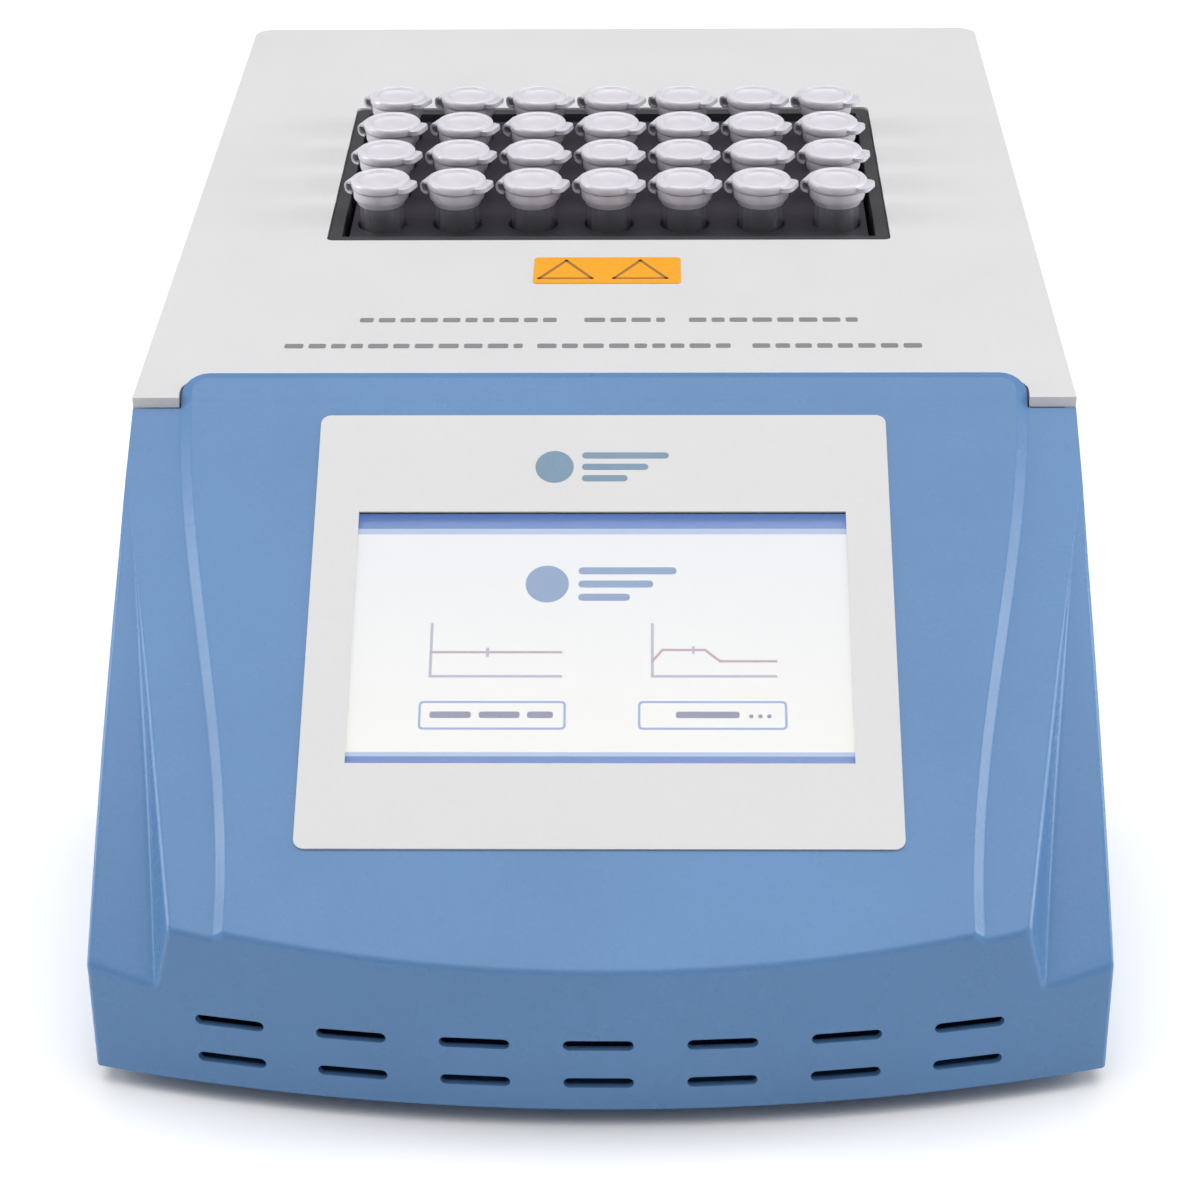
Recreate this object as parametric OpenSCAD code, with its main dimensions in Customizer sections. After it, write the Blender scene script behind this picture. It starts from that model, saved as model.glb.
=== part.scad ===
// Dry block heater with a sloping touch panel, a lift-out tube block and 28 microtubes.
// Origin: centre of the footprint at the bottom of the feet. +X right, +Y to the rear, +Z up.

/* [Case] */
// Width of the case
body_w = 188.8; // [186:0.2:192]
// Depth of the case, from the middle of the bowed front to the rear wall
body_d = 336.6; // [332:0.2:342]
// Height of the flat top above the underside of the case
body_h = 92.5; // [92:0.1:94]
// How far the middle of the front bows out past its corners
front_bulge = 12.9; // [8:0.1:14]
// Distance from the front corners to the front edge of the top cover
seam_y = 96.2; // [95:0.1:97]
// Wall thickness of the moulded front shell
shell_wall = 2.5; // [2:0.1:2.8]
// Wall thickness of the top cover
cover_wall = 2.2; // [1.8:0.1:2.4]
// Height of the rubber feet
foot_h = 4; // [3:0.5:6]
// Radius of the rear corners in plan
rear_corner_r = 4.5; // [3:0.5:6]

/* [Console] */
// Slope of the console above the horizontal
console_tilt = 29.4; // [29:0.1:30]
// Height of the console surface over the line of the front corners
console_h = 37.8; // [37:0.1:38]
// How far the console stands above the channels beside it
console_rise = 1.5; // [1:0.1:1.8]
// Width of the console's foot where it meets the front wall
console_front_w = 139.6; // [134:0.2:142]
// Width of the console's foot at its rear edge
console_rear_w = 170; // [164:0.2:172]
// Distance from the front corners to the rear edge of the console's foot
console_back_y = 103.1; // [101:0.1:104]
// Height of the shoulders at the front corners
shoulder_h = 23.2; // [21:0.2:26]
// Half the width between the channel edges at the front wall
channel_half_w = 77.8; // [76:0.2:80]

/* [Screen] */
// Width of the overlay label around the screen
overlay_w = 112.2; // [110:0.2:114]
// Length of the overlay label up the slope
overlay_l = 96.6; // [94:0.2:97]
// Width of the clear window
window_w = 95; // [90:0.5:97]
// Length of the clear window up the slope
window_l = 55.9; // [52:0.1:57]
// Distance from the overlay's lower edge to the window
window_up = 17.8; // [16:0.2:20]
// Thickness of the overlay label
overlay_t = 0.4; // [0.2:0.1:0.6]

/* [Tube block] */
// Columns of wells, left to right
columns = 7; // [5:1:7]
// Rows of wells, front to back
rows = 4; // [2:1:4]
// Spacing of the columns
column_pitch = 17.2; // [17:0.1:17.4]
// Spacing of the rows
row_pitch = 18.4; // [18:0.1:18.8]
// Diameter of a well
well_d = 10.6; // [10.5:0.1:11]
// Width of the tube block
block_w = 117; // [116.5:0.1:117.5]
// Depth of the tube block, front to back
block_d = 76.4; // [76:0.1:77]
// Height of the tube block
block_h = 36; // [35:0.5:37]
// How far the block's top lies below the top of the cover
block_drop = 2; // [1.5:0.1:2.5]
// Distance from the front corners to the middle of the block
block_y = 221.1; // [220:0.1:222]

/* [Tubes] */
// Outer diameter of a tube's barrel
barrel_d = 9.9; // [9.6:0.1:9.9]
// Wall thickness of a tube
tube_wall = 0.9; // [0.7:0.1:1]
// Distance from the block's top up to a tube's rim
rim_lift = 9; // [8.5:0.1:9.5]
// Length of a tube below its rim
tube_l = 38.6; // [38:0.1:38.8]
// Angle from the rightward direction to the cap's thumb tab
tab_turn = -23; // [-30:1:-15]

/* [Power entry] */
// Distance of the mains inlet from the middle of the rear panel
inlet_x = -52; // [-54:1:-48]
// Distance of the rocker switch from the middle of the rear panel
switch_x = -10; // [-14:1:-4]
// Height of the inlet and the switch above the underside of the case
power_z = 29; // [27:1:32]
// Angle that the rocker swings from off to on
rocker_swing = 14; // [10:1:16]

/* [Hidden] */
tube_names = [for (r = [1 : rows], c = [1 : columns]) str("tube_r", r, "_c", c)];

$fn = 72;
eps = 0.01;
past = 1;                                  // how far a cut runs past a face

// Case
corner_y = front_bulge - body_d / 2;       // the front corners, seen from the origin
half_w = body_w / 2;
case_back = body_d - front_bulge;
bow_r = (half_w * half_w + front_bulge * front_bulge) / (2 * front_bulge);
pan_t = 2.5;
pan_gap = 0.3;
foot_r = 8;
foot_x = 76;
foot_ys = [26, 298];
vent_columns = 7;
vent_pitch = 22.6;
vent_w = 12.9;
vent_h = 2.2;
vent_zs = [6, 14.4];
side_vents_from = 190;
side_vent_pitch = 11;
side_vent_h = 20;
boss_r = 4;
pilot_r = 1.3;
pilot_depth = 14;
screw_r = 1.2;
front_bosses = [[-82, 16], [82, 16]];
cover_bosses = [[-88.6, 112], [88.6, 112], [-88.6, 308], [88.6, 308]];
pan_screws = concat(front_bosses, cover_bosses);

// Console
slope = tan(console_tilt);
channel_drop = console_rise / cos(console_tilt);
channel_turn = 17.6;                       // plan angle of the step beside a channel
channel_draft = 12.5;                      // lean of that step
shoulder_end_y = 84;                       // where a shoulder runs out into the channel
shoulder_end = [shoulder_end_y, console_h + slope * shoulder_end_y - channel_drop];
shoulder_rise = shoulder_end - [0, shoulder_h];
inward = [sin(console_tilt), -cos(console_tilt)];
shoulder_r = -(shoulder_rise * shoulder_rise) / (2 * shoulder_rise * inward);
shoulder_c = shoulder_end + shoulder_r * inward;
console_flank = 2.4;                       // width of the console's sloping flank
console_back = console_back_y / cos(console_tilt);
console_front = -20;
console_steps = 14;
console_corner_r = 4.6;

// Screen, in the console's own plane
overlay_low = 9.9;
overlay_r = 2;
window_mid = overlay_low + window_up + window_l / 2;
glass_w = window_w + 6;
glass_l = window_l + 5;
glass_t = 1.8;
glass_fit = 0.2;
shell_under = console_rise + shell_wall;   // from the console's surface to the shell's inside
lcd_w = 105.5;
lcd_l = 67.2;
lcd_t = 3;
board_gap = 3.2;
board_t = 1.6;
display_board_w = 126;
display_board_l = 70;
display_hole_x = 58.5;
display_hole_l = 29;

// Recess and heater
opening_w = 125.9;
opening_d = 85.2;
opening_r = 1.5;
liner_wall = 3;
liner_fit = 0.2;
liner_flange = 4;
block_top = body_h - block_drop;
block_base = block_top - block_h;
plate_t = 8;
plate_base = block_base - plate_t;
element_t = 2;
tray_gap = 0.7;
tray_wall = 6;
tray_base = plate_base - 10.5;
tray_top = block_base + 5.5;
post_r = 3;
post_x = 45;
post_y = 25;
cutout_r = 8;
cutout_h = 7;
cutout_tab_x = 4;
cutout_x = -22;
probe_r = 1.6;
probe_x = 30;
probe_depth = 28;

// Tubes
rim_h = 2.6;
rim_r = 6.3;
cap_r = 6.7;
cap_h = 2;
tip_r = 1.9;
cone_l = 17;
tab_half_w = 3.4;
tab_reach = 9;
hinge_out = 8.6;                           // outer face of the folded living hinge
hinge_w = 5.2;
hinge_t = 0.7;
hinge_low = -1.8;
well_floor = block_top + rim_lift - tube_l - 0.4;
well_straight = 12.5;                      // depth at which a well starts to taper

// Main board
board_y = 60;
board_top = 12;
board_hole_x = 70;
board_hole_y = 32;
ribbon_y = 46;                             // the ribbon cable's socket

// Rear panel and power entry
panel_t = 2;
panel_face = case_back - 4.5;
panel_w = 164;
panel_h = 78;
panel_base = 6;
panel_fit = 0.3;                           // round the inlet and the switch
window_margin = 4;
inlet_w = 28.4;
inlet_h = 31;
flange_hole_x = 20;
pin_spacing = 7;
socket_w = 24.4;
socket_h = 16.4;
socket_depth = 15;
socket_z = 5.5;                            // socket centre above the inlet's centre
drawer_w = 24;
drawer_h = 7.4;
drawer_l = 24;
drawer_z = -10.5;
slide_fit = 0.35;
blade = [2, 4];
switch_w = 16;
switch_h = 28.4;
terminal_z = 7;
rocker_r = 12.6;
rocker_w = 12.4;
rocker_face = 3.5;
rocker_pivot = 2.5;                        // pivot's depth behind the panel's face
pin_r = 1.2;
running_fit = 0.05;

// Colours
blue = [0.42, 0.57, 0.77];
off_white = [0.89, 0.89, 0.89];
charcoal = [0.25, 0.25, 0.26];
steel = [0.72, 0.73, 0.75];
board_green = [0.12, 0.38, 0.24];
frosted = [0.9, 0.89, 0.92];

// ---------- Shared shapes ----------

// Places a shape whose Y starts at the front corners and whose Z starts at the case's underside.
module in_case() {
    translate([0, corner_y, foot_h]) children();
}

// Places a shape drawn in the console's plane: Y runs up the slope and Z stands off it.
module on_console() {
    in_case() translate([0, 0, console_h]) rotate([console_tilt, 0, 0]) children();
}

// Places a shape drawn about the middle of the tube block, with Z still from the case's underside.
module at_block() {
    in_case() translate([0, block_y, 0]) children();
}

// Places a shape on the rear panel's face: X stays, Y points out of the panel.
module on_rear(x, z) {
    in_case() translate([x, panel_face, z]) children();
}

// Extrudes an outline drawn as (depth, height) across the width w.
module across(w) {
    translate([-w / 2, 0, 0]) rotate([90, 0, 90]) linear_extrude(w) children();
}

// Rectangle w by l about the origin with rounded corners.
module rounded_rect(w, l, r) {
    square([w - 2 * r, l], center = true);
    square([w, l - 2 * r], center = true);
    for (sx = [-1, 1], sy = [-1, 1])
        translate([sx * (w / 2 - r), sy * (l / 2 - r)]) circle(r);
}

// Plate with rounded corners, its underside at z.
module plate(w, l, t, r, z = 0) {
    translate([0, 0, z]) linear_extrude(t) rounded_rect(w, l, r);
}

// Box centred in X and Y, standing on z.
module block(w, l, h, z = 0) {
    translate([-w / 2, -l / 2, z]) cube([w, l, h]);
}

// Round-ended slot that runs through a wall facing Y, w long and h high.
module wall_slot(w, h, depth) {
    rotate([90, 0, 0]) linear_extrude(depth, center = true) {
        square([w - h, h], center = true);
        for (s = [-1, 1]) translate([s * (w - h) / 2, 0]) circle(h / 2);
    }
}

// ---------- Outer form of the case ----------

// Plan of the whole case, shrunk by inset: bowed front, straight sides, rounded rear corners.
module case_plan(inset) {
    r = rear_corner_r - min(inset, rear_corner_r - 1);
    intersection() {
        translate([0, bow_r - front_bulge]) circle(bow_r - inset);
        union() {
            translate([-half_w + inset, -front_bulge - past])
                square([body_w - 2 * inset, case_back + front_bulge + past - inset - r]);
            translate([-half_w + inset + r, -front_bulge - past])
                square([body_w - 2 * inset - 2 * r, case_back + front_bulge + past - inset]);
            for (s = [-1, 1])
                translate([s * (half_w - inset - r), case_back - inset - r]) circle(r);
        }
    }
}

// Area under the channel surface, seen from the side.
module channel_profile(inset, low) {
    drop = (console_rise + inset) / cos(console_tilt);
    front = -front_bulge - past;
    back = seam_y + past;
    polygon([
        [front, low],
        [back, low],
        [back, console_h + slope * back - drop],
        [front, console_h + slope * front - drop]
    ]);
}

// Area under a shoulder: an arc from the front corner that runs out into the channel surface.
module shoulder_profile(inset, low) {
    intersection() {
        channel_profile(inset, low);
        union() {
            translate(shoulder_c) circle(shoulder_r - inset, $fn = 360);
            translate([shoulder_end_y, low]) square([seam_y, body_h + 2 * foot_h]);
        }
    }
}

// Space between the two steps beside the channels.
module between_steps(inset) {
    span = 400;
    intersection_for (s = [0, 1])
        mirror([s, 0, 0])
            translate([channel_half_w, -front_bulge / 3, shoulder_end_y / 2 - 7.5])
                rotate([0, 0, -channel_turn]) rotate([0, -channel_draft, 0])
                    translate([-span - inset, -span / 2, -span / 2]) cube(span);
}

// Front of the case as a solid, shrunk by inset, from low up and back to the cover's seam.
module front_form(inset, low, back) {
    intersection() {
        translate([0, 0, low]) linear_extrude(2 * body_h) intersection() {
            case_plan(inset);
            translate([-half_w, -front_bulge - past]) square([body_w, back + front_bulge + past]);
        }
        union() {
            across(2 * body_w) shoulder_profile(inset, low);
            intersection() {
                across(2 * body_w) channel_profile(inset, low);
                between_steps(inset);
            }
        }
    }
}

// Half width of the console at the distance v up the slope.
function console_half(v, grow) =
    let (s = min(max((v + 6) / (console_back + 6), 0), 1))
    grow + (console_front_w + (console_rear_w - console_front_w) * s * s * (3 - 2 * s)) / 2;

// Right-hand edge of the console, front to rear, with its rounded rear corner.
function console_edge(grow) =
    let (
        end = console_back + grow,
        r = console_corner_r + grow,
        run = end - r - console_front
    )
    concat(
        [for (i = [0 : console_steps])
            let (v = console_front + run * i / console_steps) [console_half(v, grow), v]],
        [for (a = [15 : 15 : 90])
            [console_half(end, grow) - r + r * cos(a), end - r + r * sin(a)]]
    );

// Outline of the console in its own plane.
module console_outline(grow) {
    right = console_edge(grow);
    polygon(concat(right, [for (i = [len(right) - 1 : -1 : 0]) [-right[i].x, right[i].y]]));
}

// The raised console with sloping flanks, down to the inside of the shell.
module console_form() {
    middle = (console_back + console_front) / 2;
    reach = console_back - middle;
    half = console_rear_w / 2;
    translate([0, 0, -shell_under])
        linear_extrude(shell_wall) console_outline(0);
    translate([0, middle, -console_rise])
        linear_extrude(console_rise, slices = 1,
            scale = [1 - console_flank / half, 1 - console_flank / reach])
            translate([0, -middle]) console_outline(0);
}

// ---------- Case parts ----------

module front_vents() {
    for (i = [0 : vent_columns - 1], z = vent_zs)
        translate([(i - (vent_columns - 1) / 2) * vent_pitch, 0, z])
            wall_slot(vent_w, vent_h, 4 * front_bulge);
}

module front_shell() {
    color(blue) difference() {
        union() {
            difference() {
                in_case() front_form(0, 0, seam_y);
                in_case() front_form(shell_wall, -past, seam_y + past);
            }
            intersection() {
                on_console() console_form();
                in_case() linear_extrude(2 * body_h) case_plan(0);
            }
            intersection() {
                in_case() for (p = front_bosses)
                    translate([p.x, p.y, pan_t + 0.2]) cylinder(r = boss_r, h = body_h);
                in_case() front_form(shell_wall / 2, 0, seam_y);
            }
        }
        in_case() front_vents();
        in_case() for (p = front_bosses) translate([p.x, p.y, 0]) cylinder(r = pilot_r, h = pilot_depth);
        on_console() translate([0, window_mid, 0]) {
            plate(glass_w + 2 * glass_fit, glass_l + 2 * glass_fit, past + glass_t, 1, -glass_t);
            block(window_w + 3, window_l + 3, 2 * shell_under, -1.5 * shell_under);
        }
    }
}

module base_pan() {
    rim_t = 2;
    rim_h = 12;
    color(blue) in_case() difference() {
        union() {
            linear_extrude(pan_t) case_plan(shell_wall + pan_gap);
            for (s = [-1, 1])
                translate([s * (half_w - shell_wall - pan_gap - rim_t / 2), body_d / 2, 0])
                    block(rim_t, body_d - 80, rim_h, 0);
        }
        for (p = pan_screws) translate([p.x, p.y, -past]) cylinder(r = 1.6, h = 20);
        for (p = cover_bosses)
            translate([p.x, p.y, pan_t]) cylinder(r = boss_r + 0.3, h = rim_h);
        for (x = [-32 : 8 : 32])
            translate([x, block_y, 0]) plate(3, 36, 4 * pan_t, 1.4, -pan_t);
    }
}

module rubber_feet() {
    color([0.13, 0.13, 0.14]) in_case() for (sx = [-1, 1], y = foot_ys)
        translate([sx * foot_x, y, -foot_h]) rotate_extrude()
            polygon([[2.4, 1.5], [2.4, 0], [foot_r - 1, 0], [foot_r - 0.3, 0.7], [foot_r, foot_h],
                [0, foot_h], [0, 1.5]]);
}

// Pan-head screw with a cross recess: its head's seat at the origin, its shank along +Z.
module screw(shank_l) {
    head_h = 1.8;
    translate([0, 0, -eps]) cylinder(r = screw_r, h = shank_l);
    difference() {
        translate([0, 0, -head_h]) cylinder(r = 2.8, h = head_h);
        for (a = [0, 90]) rotate(a) block(3.2, 0.8, 1, -head_h - eps);
    }
}

module case_screws() {
    color(steel) {
        in_case() for (p = pan_screws) translate([p.x, p.y, 0]) screw(12);
        on_rear(inlet_x, power_z) for (s = [-1, 1])
            translate([s * flange_hole_x, panel_t, 0]) rotate([90, 0, 0]) screw(7);
    }
}

module side_vents() {
    for (s = [-1, 1], i = [0 : 8])
        translate([s * half_w, side_vents_from + side_vent_pitch * i, side_vent_h / 2 + 12])
            rotate(90) rotate([0, 90, 0]) wall_slot(side_vent_h, 3, 6 * cover_wall);
}

module top_cover() {
    lip = 2.2;
    aperture_z = panel_base + window_margin;
    aperture_w = panel_w - 2 * window_margin;
    aperture_h = panel_h - 2 * window_margin;
    color(off_white) difference() {
        union() {
            in_case() difference() {
                linear_extrude(body_h) intersection() {
                    case_plan(0);
                    translate([-half_w, seam_y + 0.3]) square([body_w, case_back]);
                }
                translate([0, 0, -past])
                    linear_extrude(body_h + past - cover_wall) case_plan(cover_wall);
            }
            in_case() for (p = cover_bosses) translate([p.x, p.y, pan_t + 0.2])
                cylinder(r = boss_r, h = body_h - cover_wall / 2 - pan_t);
            in_case() translate([0, panel_face + (cover_wall + lip) / 2, 0])
                block(aperture_w + 4, cover_wall + lip, aperture_h + 4, aperture_z - 2);
        }
        in_case() translate([0, case_back, 0])
            block(aperture_w, 12, aperture_h, aperture_z);
        at_block() translate([0, 0, body_h - 3 * cover_wall])
            linear_extrude(4 * cover_wall) rounded_rect(opening_w, opening_d, opening_r);
        on_console() translate([0, 0, -12]) linear_extrude(24) console_outline(0.3);
        in_case() for (p = cover_bosses) translate([p.x, p.y, 0]) cylinder(r = pilot_r, h = pilot_depth);
        in_case() side_vents();
    }
}

module top_label() {
    color([0.98, 0.69, 0.24]) in_case() translate([0, 161, 0]) plate(32, 14.4, 0.15, 1, body_h);
}

module rear_panel() {
    color(charcoal) in_case() difference() {
        translate([0, panel_face - panel_t / 2, 0]) block(panel_w, panel_t, panel_h, panel_base);
        translate([inlet_x, panel_face, power_z]) {
            block(inlet_w + 2 * panel_fit, 12, inlet_h + 2 * panel_fit, -inlet_h / 2 - panel_fit);
            flange_holes();
        }
        translate([switch_x, panel_face, power_z])
            block(switch_w + 2 * panel_fit, 12, switch_h + 2 * panel_fit, -switch_h / 2 - panel_fit);
        for (x = [-64 : 8 : 64]) translate([x, panel_face, 62]) rotate([0, 90, 0])
            wall_slot(22, 3, 12);
    }
}

// ---------- Screen ----------

module membrane_overlay() {
    color(off_white) on_console() difference() {
        translate([0, overlay_low + overlay_l / 2, 0])
            plate(overlay_w, overlay_l, overlay_t, overlay_r);
        translate([0, window_mid, 0]) block(window_w, window_l, 4 * overlay_t, -overlay_t);
    }
}

module touch_glass() {
    color([0.8, 0.87, 0.95, 0.5]) on_console() translate([0, window_mid, 0])
        plate(glass_w, glass_l, glass_t - 0.05, 0.8, -glass_t);
}

module display_module() {
    color([0.86, 0.9, 0.96]) on_console() translate([0, window_mid, 0]) {
        plate(lcd_w, lcd_l, lcd_t, 1.5, -shell_under - lcd_t - 0.1);
        block(window_w + 2, window_l + 2, shell_under - glass_t, -shell_under - 0.1);
    }
}

module display_board() {
    board_top = -shell_under - lcd_t - board_gap;
    color(board_green) on_console() translate([0, window_mid, 0]) {
        difference() {
            plate(display_board_w, display_board_l, board_t, 2, board_top - board_t);
            for (sx = [-1, 1], sl = [-1, 1])
                translate([sx * display_hole_x, sl * display_hole_l, board_top - 2 * board_t])
                    cylinder(r = 1.6, h = 4 * board_t);
        }
        translate([-22, 4, 0]) block(14, 14, 1.6, board_top - board_t - 1.5);
        translate([14, 6, 0]) block(18, 8, 1.2, board_top - board_t - 1.1);
        translate([0, -display_board_l / 2 + 8, 0]) block(24, 5, 3, board_top - board_t - 2.9);
        for (x = [34 : 8 : 50]) translate([x, 6, board_top - board_t - 5])
            cylinder(r = 2.5, h = 5.1);
    }
}

module display_standoffs() {
    color([0.8, 0.68, 0.4]) on_console() translate([0, window_mid, 0])
        for (sx = [-1, 1], sl = [-1, 1])
            translate([sx * display_hole_x, sl * display_hole_l, -shell_under - lcd_t - board_gap])
                cylinder(r = 3, h = lcd_t + board_gap, $fn = 6);
}

module ribbon_cable() {
    width = 20;
    // Start under the display board's socket, then down to the main board's socket.
    low = window_mid - display_board_l / 2 + 8;
    under = shell_under + lcd_t + board_gap + board_t + 3;
    start = [low * cos(console_tilt) + under * sin(console_tilt),
        console_h + low * sin(console_tilt) - under * cos(console_tilt)];
    t = 0.5;
    path = [start, start + [2, -4], [ribbon_y - t / 2, 28], [ribbon_y - t / 2, 19.2]];
    color([0.75, 0.77, 0.8]) in_case() across(width)
        polygon(concat(path, [for (i = [len(path) - 1 : -1 : 0]) path[i] + [t, 0.2]]));
}

// ---------- Heater ----------

module recess_liner() {
    outer_w = opening_w - 2 * liner_fit;
    outer_d = opening_d - 2 * liner_fit;
    flange_t = 2.5;
    low = tray_top + 0.2;
    color(charcoal) at_block() difference() {
        union() {
            plate(outer_w, outer_d, body_h - 0.4 - low, opening_r - liner_fit, low);
            block(outer_w + 2 * liner_flange, outer_d + 2 * liner_flange, flange_t,
                body_h - cover_wall - flange_t - 0.1);
        }
        block(outer_w - 2 * liner_wall, outer_d - 2 * liner_wall, body_h, low - past);
    }
}

module heater_plate() {
    color([0.78, 0.79, 0.8]) at_block() difference() {
        block(block_w, block_d, plate_t, plate_base);
        translate([probe_x, -block_d / 2, plate_base + plate_t / 2]) rotate([-90, 0, 0])
            cylinder(r = probe_r + running_fit, h = probe_depth + 2);
    }
}

module heating_element() {
    color([0.85, 0.45, 0.25]) at_block() difference() {
        block(block_w - 4, block_d - 4, element_t, plate_base - element_t);
        for (sx = [-1, 1], sy = [-1, 1])
            translate([sx * post_x, sy * post_y, plate_base - 2 * element_t])
                cylinder(r = post_r + 0.4, h = 4 * element_t);
        translate([cutout_x, 0, plate_base - 2 * element_t])
            cylinder(r = cutout_r + 0.5, h = 4 * element_t);
    }
}

module temperature_probe() {
    lead_l = 12;
    color(steel) at_block() translate([probe_x, -block_d / 2, plate_base + plate_t / 2])
        rotate([-90, 0, 0]) {
            translate([0, 0, -lead_l]) cylinder(r = probe_r, h = lead_l + probe_depth);
            translate([0, 0, -lead_l - 3]) cylinder(r = probe_r + 0.6, h = 4);
        }
}

module thermal_cutout() {
    color(steel) at_block() translate([cutout_x, 0, 0]) {
        translate([0, 0, plate_base - cutout_h]) cylinder(r = cutout_r, h = cutout_h);
        for (s = [-1, 1]) translate([s * cutout_tab_x, 0, 0])
            block(0.8, 6, 8, plate_base - cutout_h - 7.5);
    }
}

module insulation_tray() {
    inner_w = block_w + 2 * tray_gap;
    inner_d = block_d + 2 * tray_gap;
    color([0.93, 0.9, 0.8]) at_block() difference() {
        block(inner_w + 2 * tray_wall, inner_d + 2 * tray_wall, tray_top - tray_base, tray_base);
        block(inner_w, inner_d, body_h, plate_base - element_t - 0.2);
        for (sx = [-1, 1], sy = [-1, 1])
            translate([sx * post_x, sy * post_y, 0]) cylinder(r = post_r + 0.3, h = body_h);
        translate([cutout_x, 0, 0]) cylinder(r = cutout_r + 1, h = body_h);
        translate([probe_x, -inner_d / 2, plate_base + plate_t / 2]) rotate([90, 0, 0])
            cylinder(r = probe_r + 1, h = 4 * tray_wall, center = true);
    }
}

module support_posts() {
    collar_h = 3;
    color(steel) at_block() for (sx = [-1, 1], sy = [-1, 1])
        translate([sx * post_x, sy * post_y, 0]) {
            translate([0, 0, pan_t]) cylinder(r = post_r, h = plate_base - pan_t);
            translate([0, 0, tray_base - collar_h]) cylinder(r = post_r + 2.5, h = collar_h);
        }
}

// Middle of the well in row r and column c, both counted from 1.
function well_at(r, c) =
    [(c - (columns + 1) / 2) * column_pitch, (r - (rows + 1) / 2) * row_pitch];

module tube_block() {
    well_r = well_d / 2;
    color([0.25, 0.24, 0.27]) at_block() difference() {
        block(block_w, block_d, block_h, block_base);
        for (r = [1 : rows], c = [1 : columns]) translate(well_at(r, c)) {
            translate([0, 0, block_top - well_straight])
                cylinder(r = well_r, h = well_straight + past);
            translate([0, 0, well_floor]) cylinder(r1 = tip_r + 0.6, r2 = well_r,
                h = block_top - well_straight - well_floor + eps);
            translate([0, 0, block_top - 0.4]) cylinder(r1 = well_r, r2 = well_r + 0.8, h = 0.8);
        }
    }
}

// ---------- Tubes ----------

// Half section of a tube below the height top: barrel, cone and rounded tip, shrunk by inset.
module tube_section(inset, top) {
    barrel_r = barrel_d / 2 - inset;
    end_r = tip_r - inset;
    cone_top = -tube_l + cone_l + tip_r;
    polygon([[0, top], [barrel_r, top], [barrel_r, cone_top], [end_r, -tube_l + tip_r],
        [0, -tube_l + tip_r]]);
    intersection() {
        translate([0, -tube_l + tip_r]) circle(end_r);
        translate([0, -tube_l]) square([tip_r, tip_r]);
    }
}

module tube_solid() {
    difference() {
        union() {
            rotate_extrude() tube_section(0, 0.2);
            translate([0, 0, -rim_h]) cylinder(r = rim_r, h = rim_h);
            translate([0, 0, -rim_h - 1.2]) cylinder(r = barrel_d / 2 + 0.5, h = 1.4);
        }
        rotate_extrude() tube_section(tube_wall, -2);
    }
    // Cap with its thumb tab, and the living hinge on the other side.
    difference() {
        translate([0, 0, -0.1]) cylinder(r = cap_r, h = cap_h + 0.1);
        translate([0, 0, cap_h - 0.5]) cylinder(r = cap_r - 1.5, h = 1);
    }
    rotate(tab_turn) {
        difference() {
            intersection() {
                cylinder(r = tab_reach, h = 1.4);
                translate([0, -tab_half_w, 0]) cube([tab_reach, 2 * tab_half_w, cap_h]);
            }
            translate([0, 0, -past]) cylinder(r = cap_r - 0.5, h = 2 * cap_h);
        }
        for (z = [hinge_low, 0.2])
            translate([-hinge_out, -hinge_w / 2, z]) cube([3.2, hinge_w, hinge_t]);
        translate([-hinge_out, -hinge_w / 2, hinge_low]) cube([hinge_t, hinge_w, 2.4]);
    }
}

module tube(r, c) {
    color(frosted) at_block() translate(well_at(r, c)) translate([0, 0, block_top + rim_lift])
        tube_solid();
}

// ---------- Electronics ----------

module main_board() {
    top = board_top - 0.1;
    color(board_green) in_case() translate([0, board_y, 0]) {
        difference() {
            plate(150, 74, board_t, 2, board_top - board_t);
            for (sx = [-1, 1], sy = [-1, 1])
                translate([sx * board_hole_x, sy * board_hole_y, 0])
                    cylinder(r = 1.7, h = 2 * board_top);
        }
        translate([0, ribbon_y - board_y, 0]) block(24, 6, 7, top);
        for (x = [-52, -34]) translate([x, 14, 0]) block(15, 19, 15, top);
        translate([36, 12, 0]) block(22, 22, 1.6, top);
        translate([10, 18, 0]) block(16, 12, 2, top);
        for (x = [-60 : 12 : -36]) translate([x, -20, top]) cylinder(r = 4, h = 11);
        for (x = [24, 44, 62]) translate([x, -26, 0]) block(12, 8, 8, top);
        for (x = [58, 64]) translate([x, 4, top]) cylinder(r = 2, h = 6);
    }
}

module board_screws() {
    color(steel) in_case() translate([0, board_y, 0]) for (sx = [-1, 1], sy = [-1, 1])
        translate([sx * board_hole_x, sy * board_hole_y, 0]) {
            translate([0, 0, pan_t]) cylinder(r = 3, h = board_top - board_t - pan_t, $fn = 6);
            translate([0, 0, pan_t + 1]) cylinder(r = 1.5, h = board_top - pan_t);
            translate([0, 0, board_top]) cylinder(r = 2.8, h = 1.6);
        }
}

module power_supply() {
    base = 7;
    color([0.8, 0.75, 0.45]) in_case() translate([42, 291, 0]) {
        plate(84, 46, board_t, 1.5, base - board_t);
        for (sx = [-1, 1], sy = [-1, 1]) translate([sx * 38, sy * 19, pan_t])
            cylinder(r = 2.5, h = base - board_t - pan_t + 0.1);
        translate([4, 0, 0]) block(26, 24, 20, base - 0.1);
        translate([4, 0, 0]) block(20, 32, 14, base + 2.9);
        for (y = [-12, 8]) translate([-26, y, base - 0.1]) cylinder(r = 8, h = 26);
        translate([30, 0, 0]) block(3, 38, 24, base - 0.1);
        translate([22, -19, 0]) block(9, 8, 10, base - 0.1);
        translate([-12, -17, 0]) block(10, 7, 9, base - 0.1);
    }
}

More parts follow.
